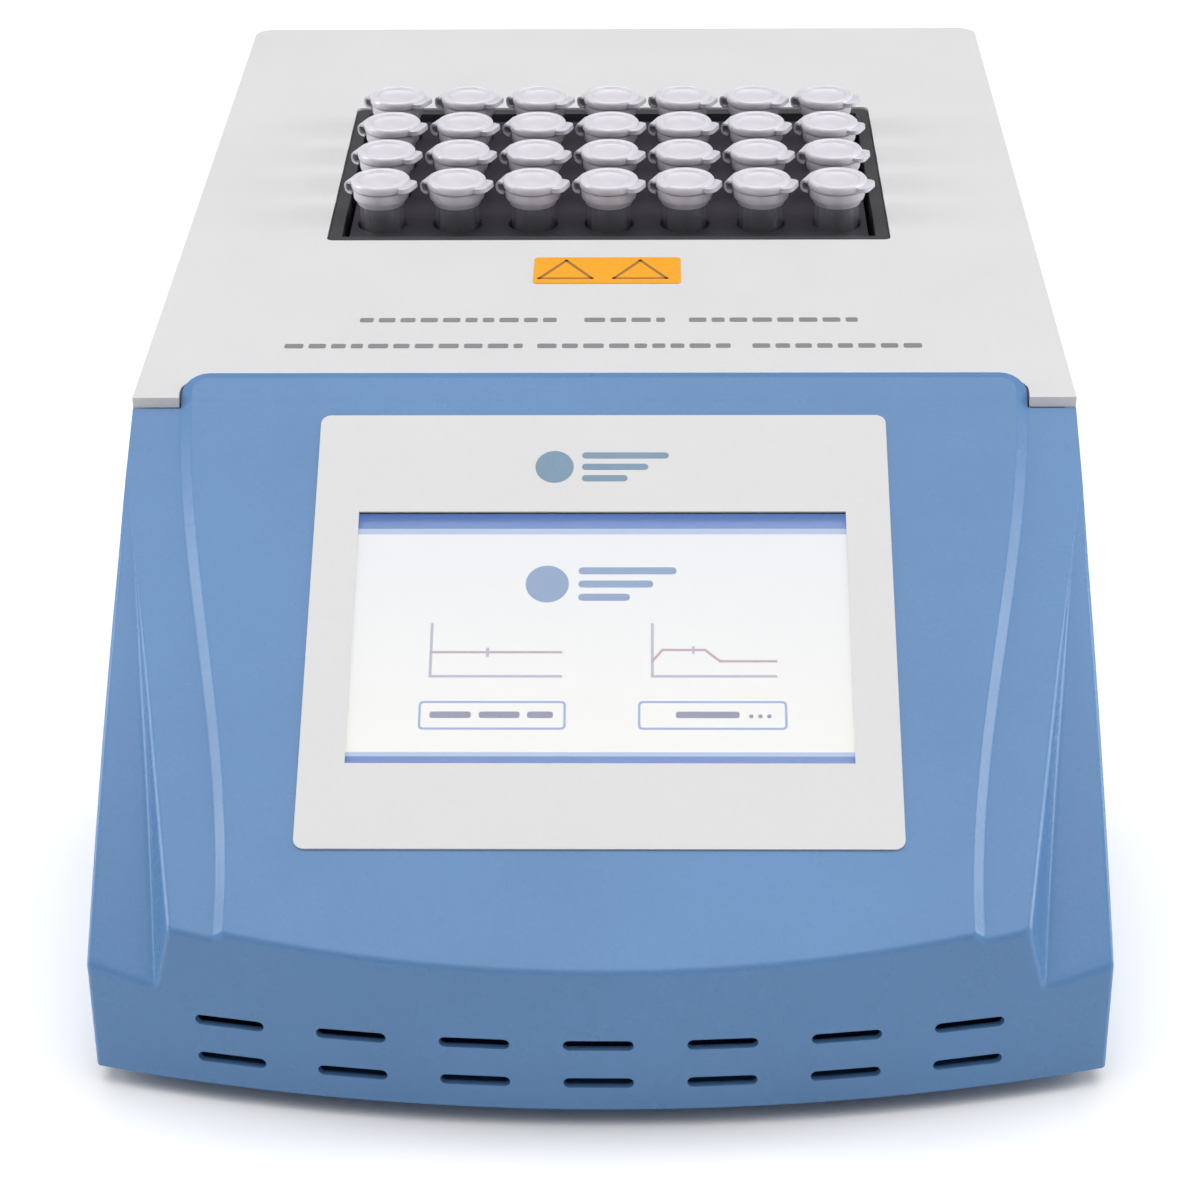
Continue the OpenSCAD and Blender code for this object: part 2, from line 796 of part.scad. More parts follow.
module triac_heatsink() {
    fins = 7;
    sink_l = 34;
    color([0.6, 0.61, 0.63]) in_case() translate([-52, 140, 0]) {
        block(48, sink_l, 5, pan_t);
        for (i = [0 : fins - 1])
            translate([(i - (fins - 1) / 2) * 7.2, 0, 0]) block(2.2, sink_l, 24, pan_t + 4.9);
        translate([0, -sink_l / 2 - 2.5, 0]) block(10, 5.1, 15, pan_t + 1);
        translate([0, -sink_l / 2 - 2.5, 0]) block(15, 5.1, 9, pan_t + 2);
    }
}

// Lead of square section w through the points of a route, which turns only at right angles.
module lead(route, w) {
    half = [w / 2, w / 2, w / 2];
    for (i = [0 : len(route) - 2]) {
        a = route[i];
        b = route[i + 1];
        low = [min(a.x, b.x), min(a.y, b.y), min(a.z, b.z)] - half;
        high = [max(a.x, b.x), max(a.y, b.y), max(a.z, b.z)] + half;
        translate(low) cube(high - low);
    }
}

module wire_harness() {
    w = 2.2;
    side_pin_z = power_z + pin_z(1);
    pin_y = panel_face - 35.5;
    terminal_y = panel_face - 23.8;
    low_z = power_z - terminal_z;
    high_z = power_z + terminal_z;
    relay_y = 84.8;
    live_x = inlet_x + pin_spacing;
    neutral_x = inlet_x - pin_spacing;
    cutout_lead_x = cutout_x + cutout_tab_x;
    probe_lead_y = block_y - block_d / 2 - 15.9;
    probe_lead_z = plate_base + plate_t / 2;
    color([0.55, 0.2, 0.15]) in_case() {
        // Live pin to the switch, and the switch to the power supply.
        lead([[live_x, pin_y, side_pin_z], [live_x, 279, side_pin_z], [live_x, 279, low_z],
            [switch_x, 279, low_z], [switch_x, terminal_y, low_z]], w);
        lead([[switch_x, terminal_y, high_z], [switch_x, 269, high_z],
            [switch_x, 269, 20], [30, 269, 20], [30, 269, 11]], w);
        // Neutral pin to the first relay.
        lead([[neutral_x, pin_y, side_pin_z], [neutral_x, 272, side_pin_z], [neutral_x, 272, 10],
            [-81, 272, 10], [-81, 90, 10], [-81, 90, 20], [-52, 90, 20], [-52, relay_y, 20]], w);
        // Triac to the second relay, and the thermal cutout back to it.
        lead([[-52, 116.7, 10], [-52, 106, 10], [-52, 106, 24], [-34, 106, 24],
            [-34, relay_y, 24]], w);
        lead([[cutout_lead_x, block_y, plate_base - 15.8], [cutout_lead_x, block_y, 18],
            [cutout_lead_x, 102, 18], [-29, 102, 18], [-29, relay_y, 18]], w);
        // Low voltage to the main board, and the temperature probe's lead.
        lead([[64, 266.8, 12], [64, 104, 12], [64, 104, 30], [64, 34, 30], [64, 34, 21.1]], w);
        lead([[probe_x, probe_lead_y, probe_lead_z], [probe_x, 160, probe_lead_z], [probe_x, 160, 34],
            [44, 160, 34], [44, 34, 34], [44, 34, 20.8]], 1.6);
    }
}

// ---------- Power entry ----------

// Outline of the mains socket's cavity, seen from behind: the earth side's corners are cut.
module socket_outline(w, h) {
    cut = 4.5;
    polygon([[-w / 2, -h / 2], [w / 2, -h / 2], [w / 2, h / 2 - cut], [w / 2 - cut, h / 2],
        [-w / 2 + cut, h / 2], [-w / 2, h / 2 - cut]]);
}

module inlet_socket() {
    flange_t = 2;
    depth = 26;
    color([0.12, 0.12, 0.13]) on_rear(inlet_x, power_z) difference() {
        union() {
            rotate([90, 0, 0]) translate([0, 0, -flange_t]) linear_extrude(flange_t)
                rounded_rect(50, 34, 3);
            translate([0, -depth / 2 + eps, 0]) block(inlet_w, depth, inlet_h, -inlet_h / 2);
        }
        translate([0, flange_t + past, socket_z]) rotate([90, 0, 0])
            linear_extrude(socket_depth + flange_t + past) socket_outline(socket_w, socket_h);
        translate([0, flange_t - drawer_l / 2, drawer_z])
            block(drawer_w + 2 * slide_fit, drawer_l + 2 * slide_fit, drawer_h + 2 * slide_fit,
                -drawer_h / 2 - slide_fit);
        for (i = [-1 : 1]) translate([i * pin_spacing, -depth / 2, pin_z(i)])
            block(blade.x, depth + 8, blade.y, -blade.y / 2);
        flange_holes();
    }
}

// Height of the earth pin (0) or a side pin (-1, 1) above the inlet's centre.
function pin_z(i) = socket_z + (i == 0 ? 2 : -2);

// Screw holes either side of the inlet.
module flange_holes() {
    for (s = [-1, 1]) translate([s * flange_hole_x, 0, 0]) rotate([90, 0, 0])
        cylinder(r = screw_r + 0.3, h = 20, center = true);
}

module inlet_pins() {
    tip = 3.2;
    pin_l = 31;
    color([0.82, 0.8, 0.72]) on_rear(inlet_x, power_z)
        for (i = [-1 : 1]) translate([i * pin_spacing, -tip - pin_l / 2, pin_z(i)])
            block(blade.x, pin_l, blade.y, -blade.y / 2);
}

module fuse_drawer() {
    lip = 1.6;
    color([0.16, 0.16, 0.17]) on_rear(inlet_x, power_z) translate([0, 0, drawer_z]) {
        difference() {
            translate([0, 2 - drawer_l / 2, 0]) block(drawer_w, drawer_l, drawer_h, -drawer_h / 2);
            translate([0, -drawer_l / 2 + 0.5, 0])
                block(21.2, drawer_l - 7, drawer_h, -drawer_h / 2 + 1.2);
        }
        translate([0, 2 + lip / 2 - eps, 0]) block(drawer_w - 8, lip, 2, drawer_h / 2 - 2.4);
    }
}

module fuses() {
    glass_r = 2.55;
    fuse_l = 20;
    color([0.85, 0.87, 0.88]) on_rear(inlet_x, power_z) for (y = [-15.3, -8.4])
        translate([-fuse_l / 2, y, drawer_z + 0.05]) rotate([0, 90, 0]) {
            cylinder(r = glass_r - 0.2, h = fuse_l);
            for (x = [0, fuse_l - 5]) translate([0, 0, x]) cylinder(r = glass_r, h = 5);
        }
}

module switch_housing() {
    bezel_t = 1.8;
    depth = 18;
    cavity_h = 2 * rocker_r + 0.8;
    color([0.1, 0.1, 0.11]) on_rear(switch_x, power_z) difference() {
        union() {
            rotate([90, 0, 0]) translate([0, 0, -bezel_t]) linear_extrude(bezel_t)
                rounded_rect(20, 32, 1.5);
            translate([0, -depth / 2 + eps, 0]) block(switch_w, depth, switch_h, -switch_h / 2);
        }
        translate([0, bezel_t - 7.5, 0]) block(rocker_w + 0.8, 15 + 2 * past, cavity_h, -cavity_h / 2);
        translate([0, -rocker_pivot, 0]) rotate([0, 90, 0])
            cylinder(r = pin_r + running_fit, h = 15, center = true);
    }
    color([0.82, 0.8, 0.72]) on_rear(switch_x, power_z)
        for (s = [-1, 1]) translate([0, -depth - 2, s * terminal_z]) block(6.3, 5, 0.8, -0.4);
}

// Rocker in its off position: a drum with a shallow V face, swung down about its pivot.
module power_rocker() {
    rise = 1.3;
    color([0.14, 0.14, 0.15]) on_rear(switch_x, power_z) translate([0, -rocker_pivot, 0])
        rotate([rocker_swing / 2, 0, 0]) {
            intersection() {
                rotate([0, 90, 0]) cylinder(r = rocker_r, h = rocker_w, center = true);
                across(rocker_w) polygon([[-4, -6], [0, -14], [rocker_face + rise, -14],
                    [rocker_face + rise, -12], [rocker_face, 0], [rocker_face + rise, 12],
                    [rocker_face + rise, 14], [0, 14], [-4, 6]]);
            }
            rotate([0, 90, 0]) cylinder(r = pin_r, h = 14.6, center = true);
        }
}

// ---------- Nodes ----------

base_pan();
rubber_feet();
case_screws();
front_shell();
membrane_overlay();
touch_glass();
display_module();
display_board();
display_standoffs();
ribbon_cable();
top_cover();
top_label();
recess_liner();
rear_panel();
insulation_tray();
heater_plate();
heating_element();
temperature_probe();
thermal_cutout();
support_posts();
tube_block();
main_board();
power_supply();
triac_heatsink();
wire_harness();
inlet_socket();
inlet_pins();
fuse_drawer();
fuses();
switch_housing();
power_rocker();
board_screws();
for (r = [1 : rows], c = [1 : columns])
    tube(r, c);
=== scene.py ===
import math
import random

import bmesh
import bpy
import numpy as np
from mathutils import Matrix, Vector
from mathutils.geometry import delaunay_2d_cdt


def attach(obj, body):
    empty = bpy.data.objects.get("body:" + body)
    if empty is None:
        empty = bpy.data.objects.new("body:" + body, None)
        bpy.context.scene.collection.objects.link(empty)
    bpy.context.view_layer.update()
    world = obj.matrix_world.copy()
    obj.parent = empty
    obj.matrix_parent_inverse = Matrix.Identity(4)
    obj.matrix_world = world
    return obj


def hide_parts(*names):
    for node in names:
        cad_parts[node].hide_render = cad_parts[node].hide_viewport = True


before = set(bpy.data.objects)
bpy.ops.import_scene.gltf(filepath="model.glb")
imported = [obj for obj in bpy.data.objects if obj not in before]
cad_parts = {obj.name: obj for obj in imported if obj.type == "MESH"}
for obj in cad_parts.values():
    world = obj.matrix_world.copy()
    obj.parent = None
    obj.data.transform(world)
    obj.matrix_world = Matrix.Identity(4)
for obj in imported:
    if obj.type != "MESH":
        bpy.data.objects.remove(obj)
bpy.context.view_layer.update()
MM = 0.001

# ---------- The case's own measures, in millimetres ----------
# X from the middle, Y from the front wall's corners, Z from the underside of the case.

HALF_W = 94.4
BULGE = 12.9  # the bowed front wall's middle stands this far in front of its corners
BOW_R = (HALF_W**2 + BULGE**2) / (2 * BULGE)
SEAM_Y = 96.2  # the front shell meets the cover here
DEPTH = 336.6  # over the bulge
FOOT_H = 4.0
CORNER_Y = BULGE - DEPTH / 2  # the corners' place in the frame
COVER_Z = 92.5

TILT = math.radians(29.4)  # the console's slope
COS, SIN, SLOPE = math.cos(TILT), math.sin(TILT), math.tan(TILT)
CONSOLE_Z = 37.8  # height of the console's plane over the corners
RISE = 1.5  # the raised console over the channels beside it
FLANK = 2.4  # width of the slanted step round it
BACK_V = 118.34  # its back edge, up the slope
LIP_BACK_V = 115.9398  # the same edge on the lip past the seam

WINDOW_W, WINDOW_L = 95.0, 55.9
OVERLAY_LOW = 9.9  # the overlay's lower edge, up the slope
WINDOW_LOW = 17.8  # the window's lower edge, from the overlay's
WINDOW_MID = OVERLAY_LOW + WINDOW_LOW + WINDOW_L / 2
APERTURE_HALF_W, APERTURE_HALF_L = 50.8, 30.7  # the console's own opening, under the overlay

BLOCK_Y, BLOCK_TOP = 221.1, 90.5
COLUMN_PITCH, ROW_PITCH = 17.2, 18.4
VENT_PITCH, VENT_W, VENT_H = 22.6, 12.9, 2.2
VENT_ZS = (6.0, 14.4)
VENT_XS = [(i - 3) * VENT_PITCH for i in range(7)]
VENT_R = VENT_H / 2
VENT_REACH = (VENT_W - VENT_H) / 2  # from a vent's middle to that of its round end

ROCKER_X, ROCKER_Z, ROCKER_PIVOT_Y = -10, 29, DEPTH - BULGE - 7.0
ROCKER_SWING = math.radians(14)


def case(x, y, z):
    """A point of the case, in the frame's metres."""
    return Vector((x * MM, (y + CORNER_Y) * MM, (z + FOOT_H) * MM))


def on_console(u, v, h):
    """u across, v up the slope, h off the console's surface."""
    return case(u, v * COS - h * SIN, CONSOLE_Z + v * SIN + h * COS)


# ---------- Materials ----------


def srgb(r, g, b):
    """A screen colour of 0 to 255 a channel, as linear light."""

    def linear(c):
        c /= 255
        return c / 12.92 if c <= 0.04045 else ((c + 0.055) / 1.055) ** 2.4

    return (linear(r), linear(g), linear(b), 1)


def grey(level):
    return (level, level, level, 1)


def shade(colour, k):
    return (colour[0] * k, colour[1] * k, colour[2] * k, 1)


class Nodes:
    """A material's node tree, with short ways to add the nodes used here."""

    MIX_A, MIX_B, MIX_RESULT = 6, 7, 2  # the Mix node's colour sockets

    def __init__(self, name):
        self.material = bpy.data.materials.new(name)
        self.material.use_nodes = True
        self.tree = self.material.node_tree
        self.tree.nodes.clear()
        self.out = self.add("ShaderNodeOutputMaterial")
        self.bsdf = self.add("ShaderNodeBsdfPrincipled")
        self.link(self.bsdf, "BSDF", self.out, "Surface")
        self.where = self.add("ShaderNodeTexCoord")

    def add(self, kind, **values):
        node = self.tree.nodes.new(kind)
        for key, value in values.items():
            setattr(node, key, value)
        return node

    def link(self, a, a_name, b, b_name):
        self.tree.links.new(a.outputs[a_name], b.inputs[b_name])

    def noise(self, scale, detail=3.0, roughness=0.5, stretch=(1, 1, 1)):
        mapping = self.add("ShaderNodeMapping")
        mapping.inputs["Scale"].default_value = stretch
        self.link(self.where, "Object", mapping, "Vector")
        noise = self.add("ShaderNodeTexNoise")
        noise.inputs["Scale"].default_value = scale
        noise.inputs["Detail"].default_value = detail
        noise.inputs["Roughness"].default_value = roughness
        self.link(mapping, "Vector", noise, "Vector")
        return noise

    def ramp(self, source, stops, output="Fac"):
        ramp = self.add("ShaderNodeValToRGB")
        self.link(source, output, ramp, "Fac")
        while len(ramp.color_ramp.elements) < len(stops):
            ramp.color_ramp.elements.new(0.5)
        for element, (at, colour) in zip(ramp.color_ramp.elements, stops):
            element.position = at
            element.color = colour
        return ramp

    def multiplied(self, a, b, amount, socket):
        """Links the colour of node a, multiplied by that of b, to a socket of the shader."""
        mix = self.add("ShaderNodeMix", data_type="RGBA", blend_type="MULTIPLY")
        mix.inputs["Factor"].default_value = amount
        self.tree.links.new(a.outputs["Color"], mix.inputs[self.MIX_A])
        self.tree.links.new(b.outputs["Color"], mix.inputs[self.MIX_B])
        self.tree.links.new(mix.outputs[self.MIX_RESULT], self.bsdf.inputs[socket])

    def roughness(self, source, low, high, ends=(0.3, 0.7)):
        """The surface's roughness, from low to high as the source goes between its ends."""
        ramp = self.ramp(source, [(ends[0], grey(low)), (ends[1], grey(min(1, high)))])
        self.link(ramp, "Color", self.bsdf, "Roughness")

    def bump(self, height, strength, distance, below=None):
        bump = self.add("ShaderNodeBump")
        bump.inputs["Strength"].default_value = strength
        bump.inputs["Distance"].default_value = distance
        self.link(height, "Fac", bump, "Height")
        if below is not None:
            self.link(below, "Normal", bump, "Normal")
        return bump

    def set(self, **values):
        """Constants on the shader's own sockets, such as Transmission_Weight=1."""
        for key, value in values.items():
            self.bsdf.inputs[key.replace("_", " ")].default_value = value


def moulded(name, colour, rough=0.45, grain=1400, depth=0.00006, blotch=0.05, specular=0.4, speck=0.6):
    """Moulded plastic: fine spark-eroded grain, faint colour drift and handling marks."""
    n = Nodes(name)
    pale, dark = shade(colour, 1 + blotch), shade(colour, 1 - blotch)
    drift = n.ramp(n.noise(18, 4, 0.6), [(0.3, dark), (0.7, pale)])
    specks = n.ramp(n.noise(900, 2, 0.5), [(0.25, grey(0.9)), (0.5, grey(1)), (0.8, grey(1.03))])
    n.multiplied(drift, specks, speck, "Base Color")
    n.roughness(n.noise(45, 5, 0.65), rough * 0.86, rough * 1.14)
    n.set(Specular_IOR_Level=specular)
    fine = n.noise(grain, 3, 0.6)
    coarse = n.bump(n.noise(grain / 5, 2, 0.5), 0.25, depth)
    n.link(n.bump(fine, 0.5, depth, coarse), "Normal", n.bsdf, "Normal")
    return n.material


def metal(name, colour, rough=0.35, stretch=(1, 1, 1), scale=600, depth=0.00003, metallic=1.0):
    """Machined or drawn metal: scratches along one way and uneven sheen."""
    n = Nodes(name)
    lines = n.noise(scale, 3, 0.6, stretch)
    patches = n.noise(40, 3, 0.5)
    colours = n.ramp(patches, [(0.3, shade(colour, 0.88)), (0.7, shade(colour, 1.08))])
    n.link(colours, "Color", n.bsdf, "Base Color")
    n.roughness(lines, rough * 0.8, rough * 1.2)
    n.set(Metallic=metallic)
    n.link(n.bump(lines, 0.4, depth), "Normal", n.bsdf, "Normal")
    return n.material


def polypropylene(name, colour, transmission, rough, alpha=1.0, subsurface=0.0):
    """Milky polypropylene with flow marks."""
    n = Nodes(name)
    flow = n.noise(160, 3, 0.5, (1, 1, 0.35))
    colours = n.ramp(flow, [(0.3, shade(colour, 0.95)), (0.7, shade(colour, 1.03))])
    n.link(colours, "Color", n.bsdf, "Base Color")
    n.roughness(flow, rough * 0.85, rough * 1.2)
    n.set(IOR=1.45, Transmission_Weight=transmission, Alpha=alpha)
    n.set(Subsurface_Weight=subsurface, Subsurface_Radius=(0.003, 0.003, 0.003))
    n.link(n.bump(n.noise(900, 2, 0.5), 0.25, 0.00004), "Normal", n.bsdf, "Normal")
    return n.material


def lit(name, colour, strength, second=None, axis="Z", low=0.0, high=0.1):
    """A lit part of the screen, with a faint pixel grid in its brightness."""
    n = Nodes(name)
    split = n.add("ShaderNodeSeparateXYZ")
    n.link(n.where, "Object", split, "Vector")
    span = n.add("ShaderNodeMapRange")
    span.inputs["From Min"].default_value = low
    span.inputs["From Max"].default_value = high
    n.link(split, axis, span, "Value")
    colours = n.ramp(span, [(0.0, colour), (1.0, second or colour)], "Result")
    grid = n.add("ShaderNodeTexVoronoi")
    grid.inputs["Scale"].default_value = 2500
    n.link(n.where, "Object", grid, "Vector")
    level = n.ramp(grid, [(0.0, (0.96, 0.96, 0.97, 1)), (0.6, grey(1))], "Distance")
    n.multiplied(colours, level, 1.0, "Emission Color")
    n.set(Base_Color=(0.1, 0.1, 0.11, 1), Emission_Strength=strength, Roughness=0.4)
    return n.material


def clear_glass(name):
    n = Nodes(name)
    n.roughness(n.noise(60, 4, 0.6), 0.02, 0.09, (0.35, 0.75))
    n.set(Base_Color=(0.97, 0.985, 1.0, 1), Transmission_Weight=1.0, IOR=1.2)
    return n.material


FILM = dict(depth=0.00002, speck=0.15)  # the fine grain of a printed film
BLUE = moulded("case_blue", (0.096, 0.213, 0.41, 1), 0.27, specular=0.32, speck=0.35)
WHITE = moulded("case_white", (0.6, 0.6, 0.604, 1), 0.5, blotch=0.01, speck=0.2)
OVERLAY = moulded("overlay_film", (0.59, 0.585, 0.59, 1), 0.34, grain=2600, blotch=0.008, **FILM)
CHARCOAL = moulded("liner_charcoal", (0.035, 0.035, 0.037, 1), 0.55, blotch=0.15)
BLACK = moulded("black_plastic", (0.012, 0.012, 0.013, 1), 0.4, blotch=0.2)
RUBBER = moulded("foot_rubber", (0.016, 0.016, 0.017, 1), 0.75, grain=800, depth=0.0001, blotch=0.25)
ANODISED = metal("block_anodised", (0.045, 0.04, 0.055, 1), 0.5, (1, 14, 1), 500, 0.00004, 0.55)
ALUMINIUM = metal("bare_aluminium", (0.62, 0.63, 0.65, 1), 0.4, (1, 10, 1), 500)
STEEL = metal("zinc_steel", (0.56, 0.56, 0.55, 1), 0.32, (1, 1, 6), 900)
NICKEL = metal("nickel_blade", (0.66, 0.63, 0.57, 1), 0.25, (1, 8, 1), 900)
BRASS = metal("brass_pillar", (0.66, 0.47, 0.2, 1), 0.35, (1, 1, 8), 900)
PP_CAP = polypropylene("tube_cap_plastic", (0.66, 0.635, 0.69, 1), 0.12, 0.34, subsurface=0.35)
PP_BODY = polypropylene("tube_body_plastic", (0.8, 0.78, 0.84, 1), 0.75, 0.3, alpha=0.3)
LABEL = moulded(
    "label_amber", (0.8, 0.345, 0.014, 1), 0.4, grain=2200, depth=0.00002, blotch=0.03, specular=0.25
)
LABEL_INK = moulded("label_ink", (0.30, 0.145, 0.035, 1), 0.5, blotch=0.1)
INK = moulded("print_grey", (0.21, 0.21, 0.215, 1), 0.55, blotch=0.08)
SLATE = moulded("print_slate", (0.16, 0.25, 0.34, 1), 0.5, blotch=0.08)
INSULATION = moulded("mineral_board", (0.72, 0.66, 0.5, 1), 0.95, grain=300, depth=0.0005, blotch=0.12)
ELEMENT = moulded("polyimide_heater", (0.5, 0.17, 0.03, 1), 0.35, blotch=0.1)
WIRE = moulded("wire_sleeve", (0.32, 0.035, 0.02, 1), 0.4, blotch=0.1)
RIBBON = moulded("ribbon_grey", (0.42, 0.44, 0.48, 1), 0.5, blotch=0.06)
BOARD = moulded("circuit_board", (0.015, 0.11, 0.045, 1), 0.35, grain=500, depth=0.0001, blotch=0.25)
DISPLAY_FRAME = moulded("display_frame", (0.3, 0.31, 0.32, 1), 0.45)
GLASS = clear_glass("screen_glass")

# ---------- Building pieces ----------


def finish_mesh(mesh, angle):
    """Smooth shading, with the edges that turn further than the angle kept sharp."""
    mesh.shade_smooth()
    mesh.set_sharp_from_angle(angle=math.radians(angle))


def new_object(name, data):
    obj = bpy.data.objects.new(name, data)
    bpy.context.scene.collection.objects.link(obj)
    return obj


def mesh_of(name, bm, *materials):
    """The bmesh as a mesh, and the bmesh freed."""
    mesh = bpy.data.meshes.new(name)
    bm.to_mesh(mesh)
    bm.free()
    for material in materials:
        mesh.materials.append(material)
    return mesh


def piece(name, bm, *materials, slot, body="case", angle=32):
    """A new piece that rides on a body. An angle of None leaves its faces flat."""
    mesh = mesh_of(name, bm, *materials)
    obj = new_object(name, mesh)
    if angle is not None:
        finish_mesh(mesh, angle)
    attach(obj, body)
    return obj


def even_shading(obj):
    """Keeps flat faces evenly shaded up to their rounded edges."""
    normals = obj.modifiers.new("even_shading", "WEIGHTED_NORMAL")
    normals.keep_sharp = True
    normals.weight = 80


def apply_modifiers(obj, angle):
    """Turns the object's modifiers into its own mesh."""
    mesh = bpy.data.meshes.new_from_object(obj.evaluated_get(bpy.context.evaluated_depsgraph_get()))
    obj.modifiers.clear()
    obj.data = mesh
    finish_mesh(mesh, angle)


def paint(material, *nodes):
    """Gives CAD nodes that keep their own shape a material."""
    for node in nodes:
        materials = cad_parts[node].data.materials
        materials.clear()
        materials.append(material)


def refined(node, name, width, material, slot, body="case", segments=2):
    """The CAD node's own shape with its edges rounded to the given width."""
    bm = bmesh.new()
    bm.from_mesh(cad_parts[node].data)
    bmesh.ops.remove_doubles(bm, verts=bm.verts, dist=2e-6)
    bmesh.ops.dissolve_limit(bm, angle_limit=math.radians(0.8), verts=bm.verts, edges=bm.edges)
    corner = math.radians(30)
    edges = [e for e in bm.edges if len(e.link_faces) == 2 and e.calc_face_angle(0) > corner]
    bmesh.ops.bevel(
        bm,
        geom=edges,
        offset=width * MM,
        segments=segments,
        profile=0.5,
        affect="EDGES",
        clamp_overlap=True,
    )
    obj = piece(name, bm, material, body=body, slot=slot, angle=40)
    even_shading(obj)
    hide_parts(node)


CORNER_STEPS = 4


def rounded_path(points, radii, steps=CORNER_STEPS):
    """The polyline's points with each inner corner turned into a short curve."""
    out = [np.array(points[0], float)]
    for a, b, c, r in zip(points, points[1:], points[2:], radii):
        a, b, c = (np.array(p, float) for p in (a, b, c))
        u, w = b - a, c - b
        lu, lw = np.linalg.norm(u), np.linalg.norm(w)
        if lu < 1e-9 or lw < 1e-9:
            out += [b.copy() for _ in range(steps + 1)]
            continue
        turn = math.acos(max(-1, min(1, float(u @ w) / (lu * lw))))
        t = min(r * math.tan(turn / 2), 0.45 * lu, 0.45 * lw)
        p, q = b - u / lu * t, b + w / lw * t
        for k in range(steps + 1):
            s = k / steps
            out.append((1 - s) ** 2 * p + 2 * s * (1 - s) * b + s * s * q)
    out.append(np.array(points[-1], float))
    return out


# ---------- Front shell ----------

# The top of each shoulder, in (y, z), is an arc that ends along the channel's slope.
SHOULDER_BACK = 84.0
SHOULDER_START = np.array([0.0, 23.2])
SHOULDER_END = np.array([SHOULDER_BACK, CONSOLE_Z + SLOPE * SHOULDER_BACK - RISE / COS])
INTO_SLOPE = np.array([SIN, -COS])
CHORD = SHOULDER_END - SHOULDER_START
SHOULDER_R = -float(CHORD @ CHORD) / (2 * float(CHORD @ INTO_SLOPE))
SHOULDER_MID = SHOULDER_END + SHOULDER_R * INTO_SLOPE

# The wall from a channel's edge down to the shoulder is a plane that faces out and a little forward.
WALL_TURN, WALL_DRAFT = math.radians(17.6), math.radians(12.5)
WALL_NORMAL = (
    math.cos(WALL_DRAFT) * math.cos(WALL_TURN),
    -math.cos(WALL_DRAFT) * math.sin(WALL_TURN),
    math.sin(WALL_DRAFT),
)
WALL_POINT = (77.8, -BULGE / 3, 34.5)

CONSOLE_NARROW, CONSOLE_WIDE = 139.6, 170.0  # the raised console at its front and its back
SECTION_RADII = [1.0, 1.5, 1.5, 1.7, 1.5]
SECTION_SPANS = [30, 1, 5, 4, 5, 8]  # pieces of each flat part between the rounded corners
SHELL_YS = np.linspace(-16, SEAM_Y, 260)  # depths of the sections, from in front of the bulge
SHELL_T = 1.4
FRONT_EDGE_R = 0.9


def bow(x):
    """The bowed front wall's Y at x: 0 at its corners and -BULGE in the middle."""
    return float(BOW_R - BULGE - np.sqrt(BOW_R**2 - np.square(x)))


def console_foot(v):
    """Half width of the raised console at the foot of its step, v up the slope."""
    run_in = 6
    s = min(max((v + run_in) / (BACK_V + run_in), 0), 1)
    return (CONSOLE_NARROW + (CONSOLE_WIDE - CONSOLE_NARROW) * s * s * (3 - 2 * s)) / 2


def console_top(v):
    """Half width of the raised console's flat top."""
    return console_foot(v) * (1 - FLANK / (CONSOLE_WIDE / 2))


def wall_x(y, z):
    """X of the wall between a channel and its shoulder, at the depth y and the height z."""
    nx, ny, nz = WALL_NORMAL
    px, py, pz = WALL_POINT
    return px - (ny * (y - py) + nz * (z - pz)) / nx


def section(y):
    """Half section of the shell at the depth y, from the middle to the foot of the side wall."""
    least_step, least_wall, least_ledge = 0.02, 0.1, 0.3  # so that no two corners ever meet
    console_z = CONSOLE_Z + SLOPE * y
    channel_z = console_z - RISE / COS
    shoulder_z = channel_z - least_step
    if y < SHOULDER_END[0]:
        arc = SHOULDER_MID[1] + math.sqrt(SHOULDER_R**2 - (y - SHOULDER_MID[0]) ** 2)
        shoulder_z = min(shoulder_z, arc)
    edge = min(wall_x(y, channel_z), HALF_W - 2 * least_ledge)
    foot = min(max(wall_x(y, shoulder_z), edge + least_wall), HALF_W - least_ledge)
    corners = [
        (0, console_z),
        (console_top(y / COS), console_z),
        (console_foot(y / COS), channel_z),
        (edge, channel_z),
        (foot, shoulder_z),
        (HALF_W, shoulder_z),
        (HALF_W, 0),
    ]
    path = rounded_path(corners, SECTION_RADII)
    out, i = [path[0]], 0
    for count in SECTION_SPANS:
        a, b = path[i], path[i + 1]
        out += [a + (b - a) * k / count for k in range(1, count + 1)]
        i += 1
        if i < len(path) - 1:
            out += path[i + 1 : i + 1 + CORNER_STEPS]
            i += CORNER_STEPS
    return np.array(out)


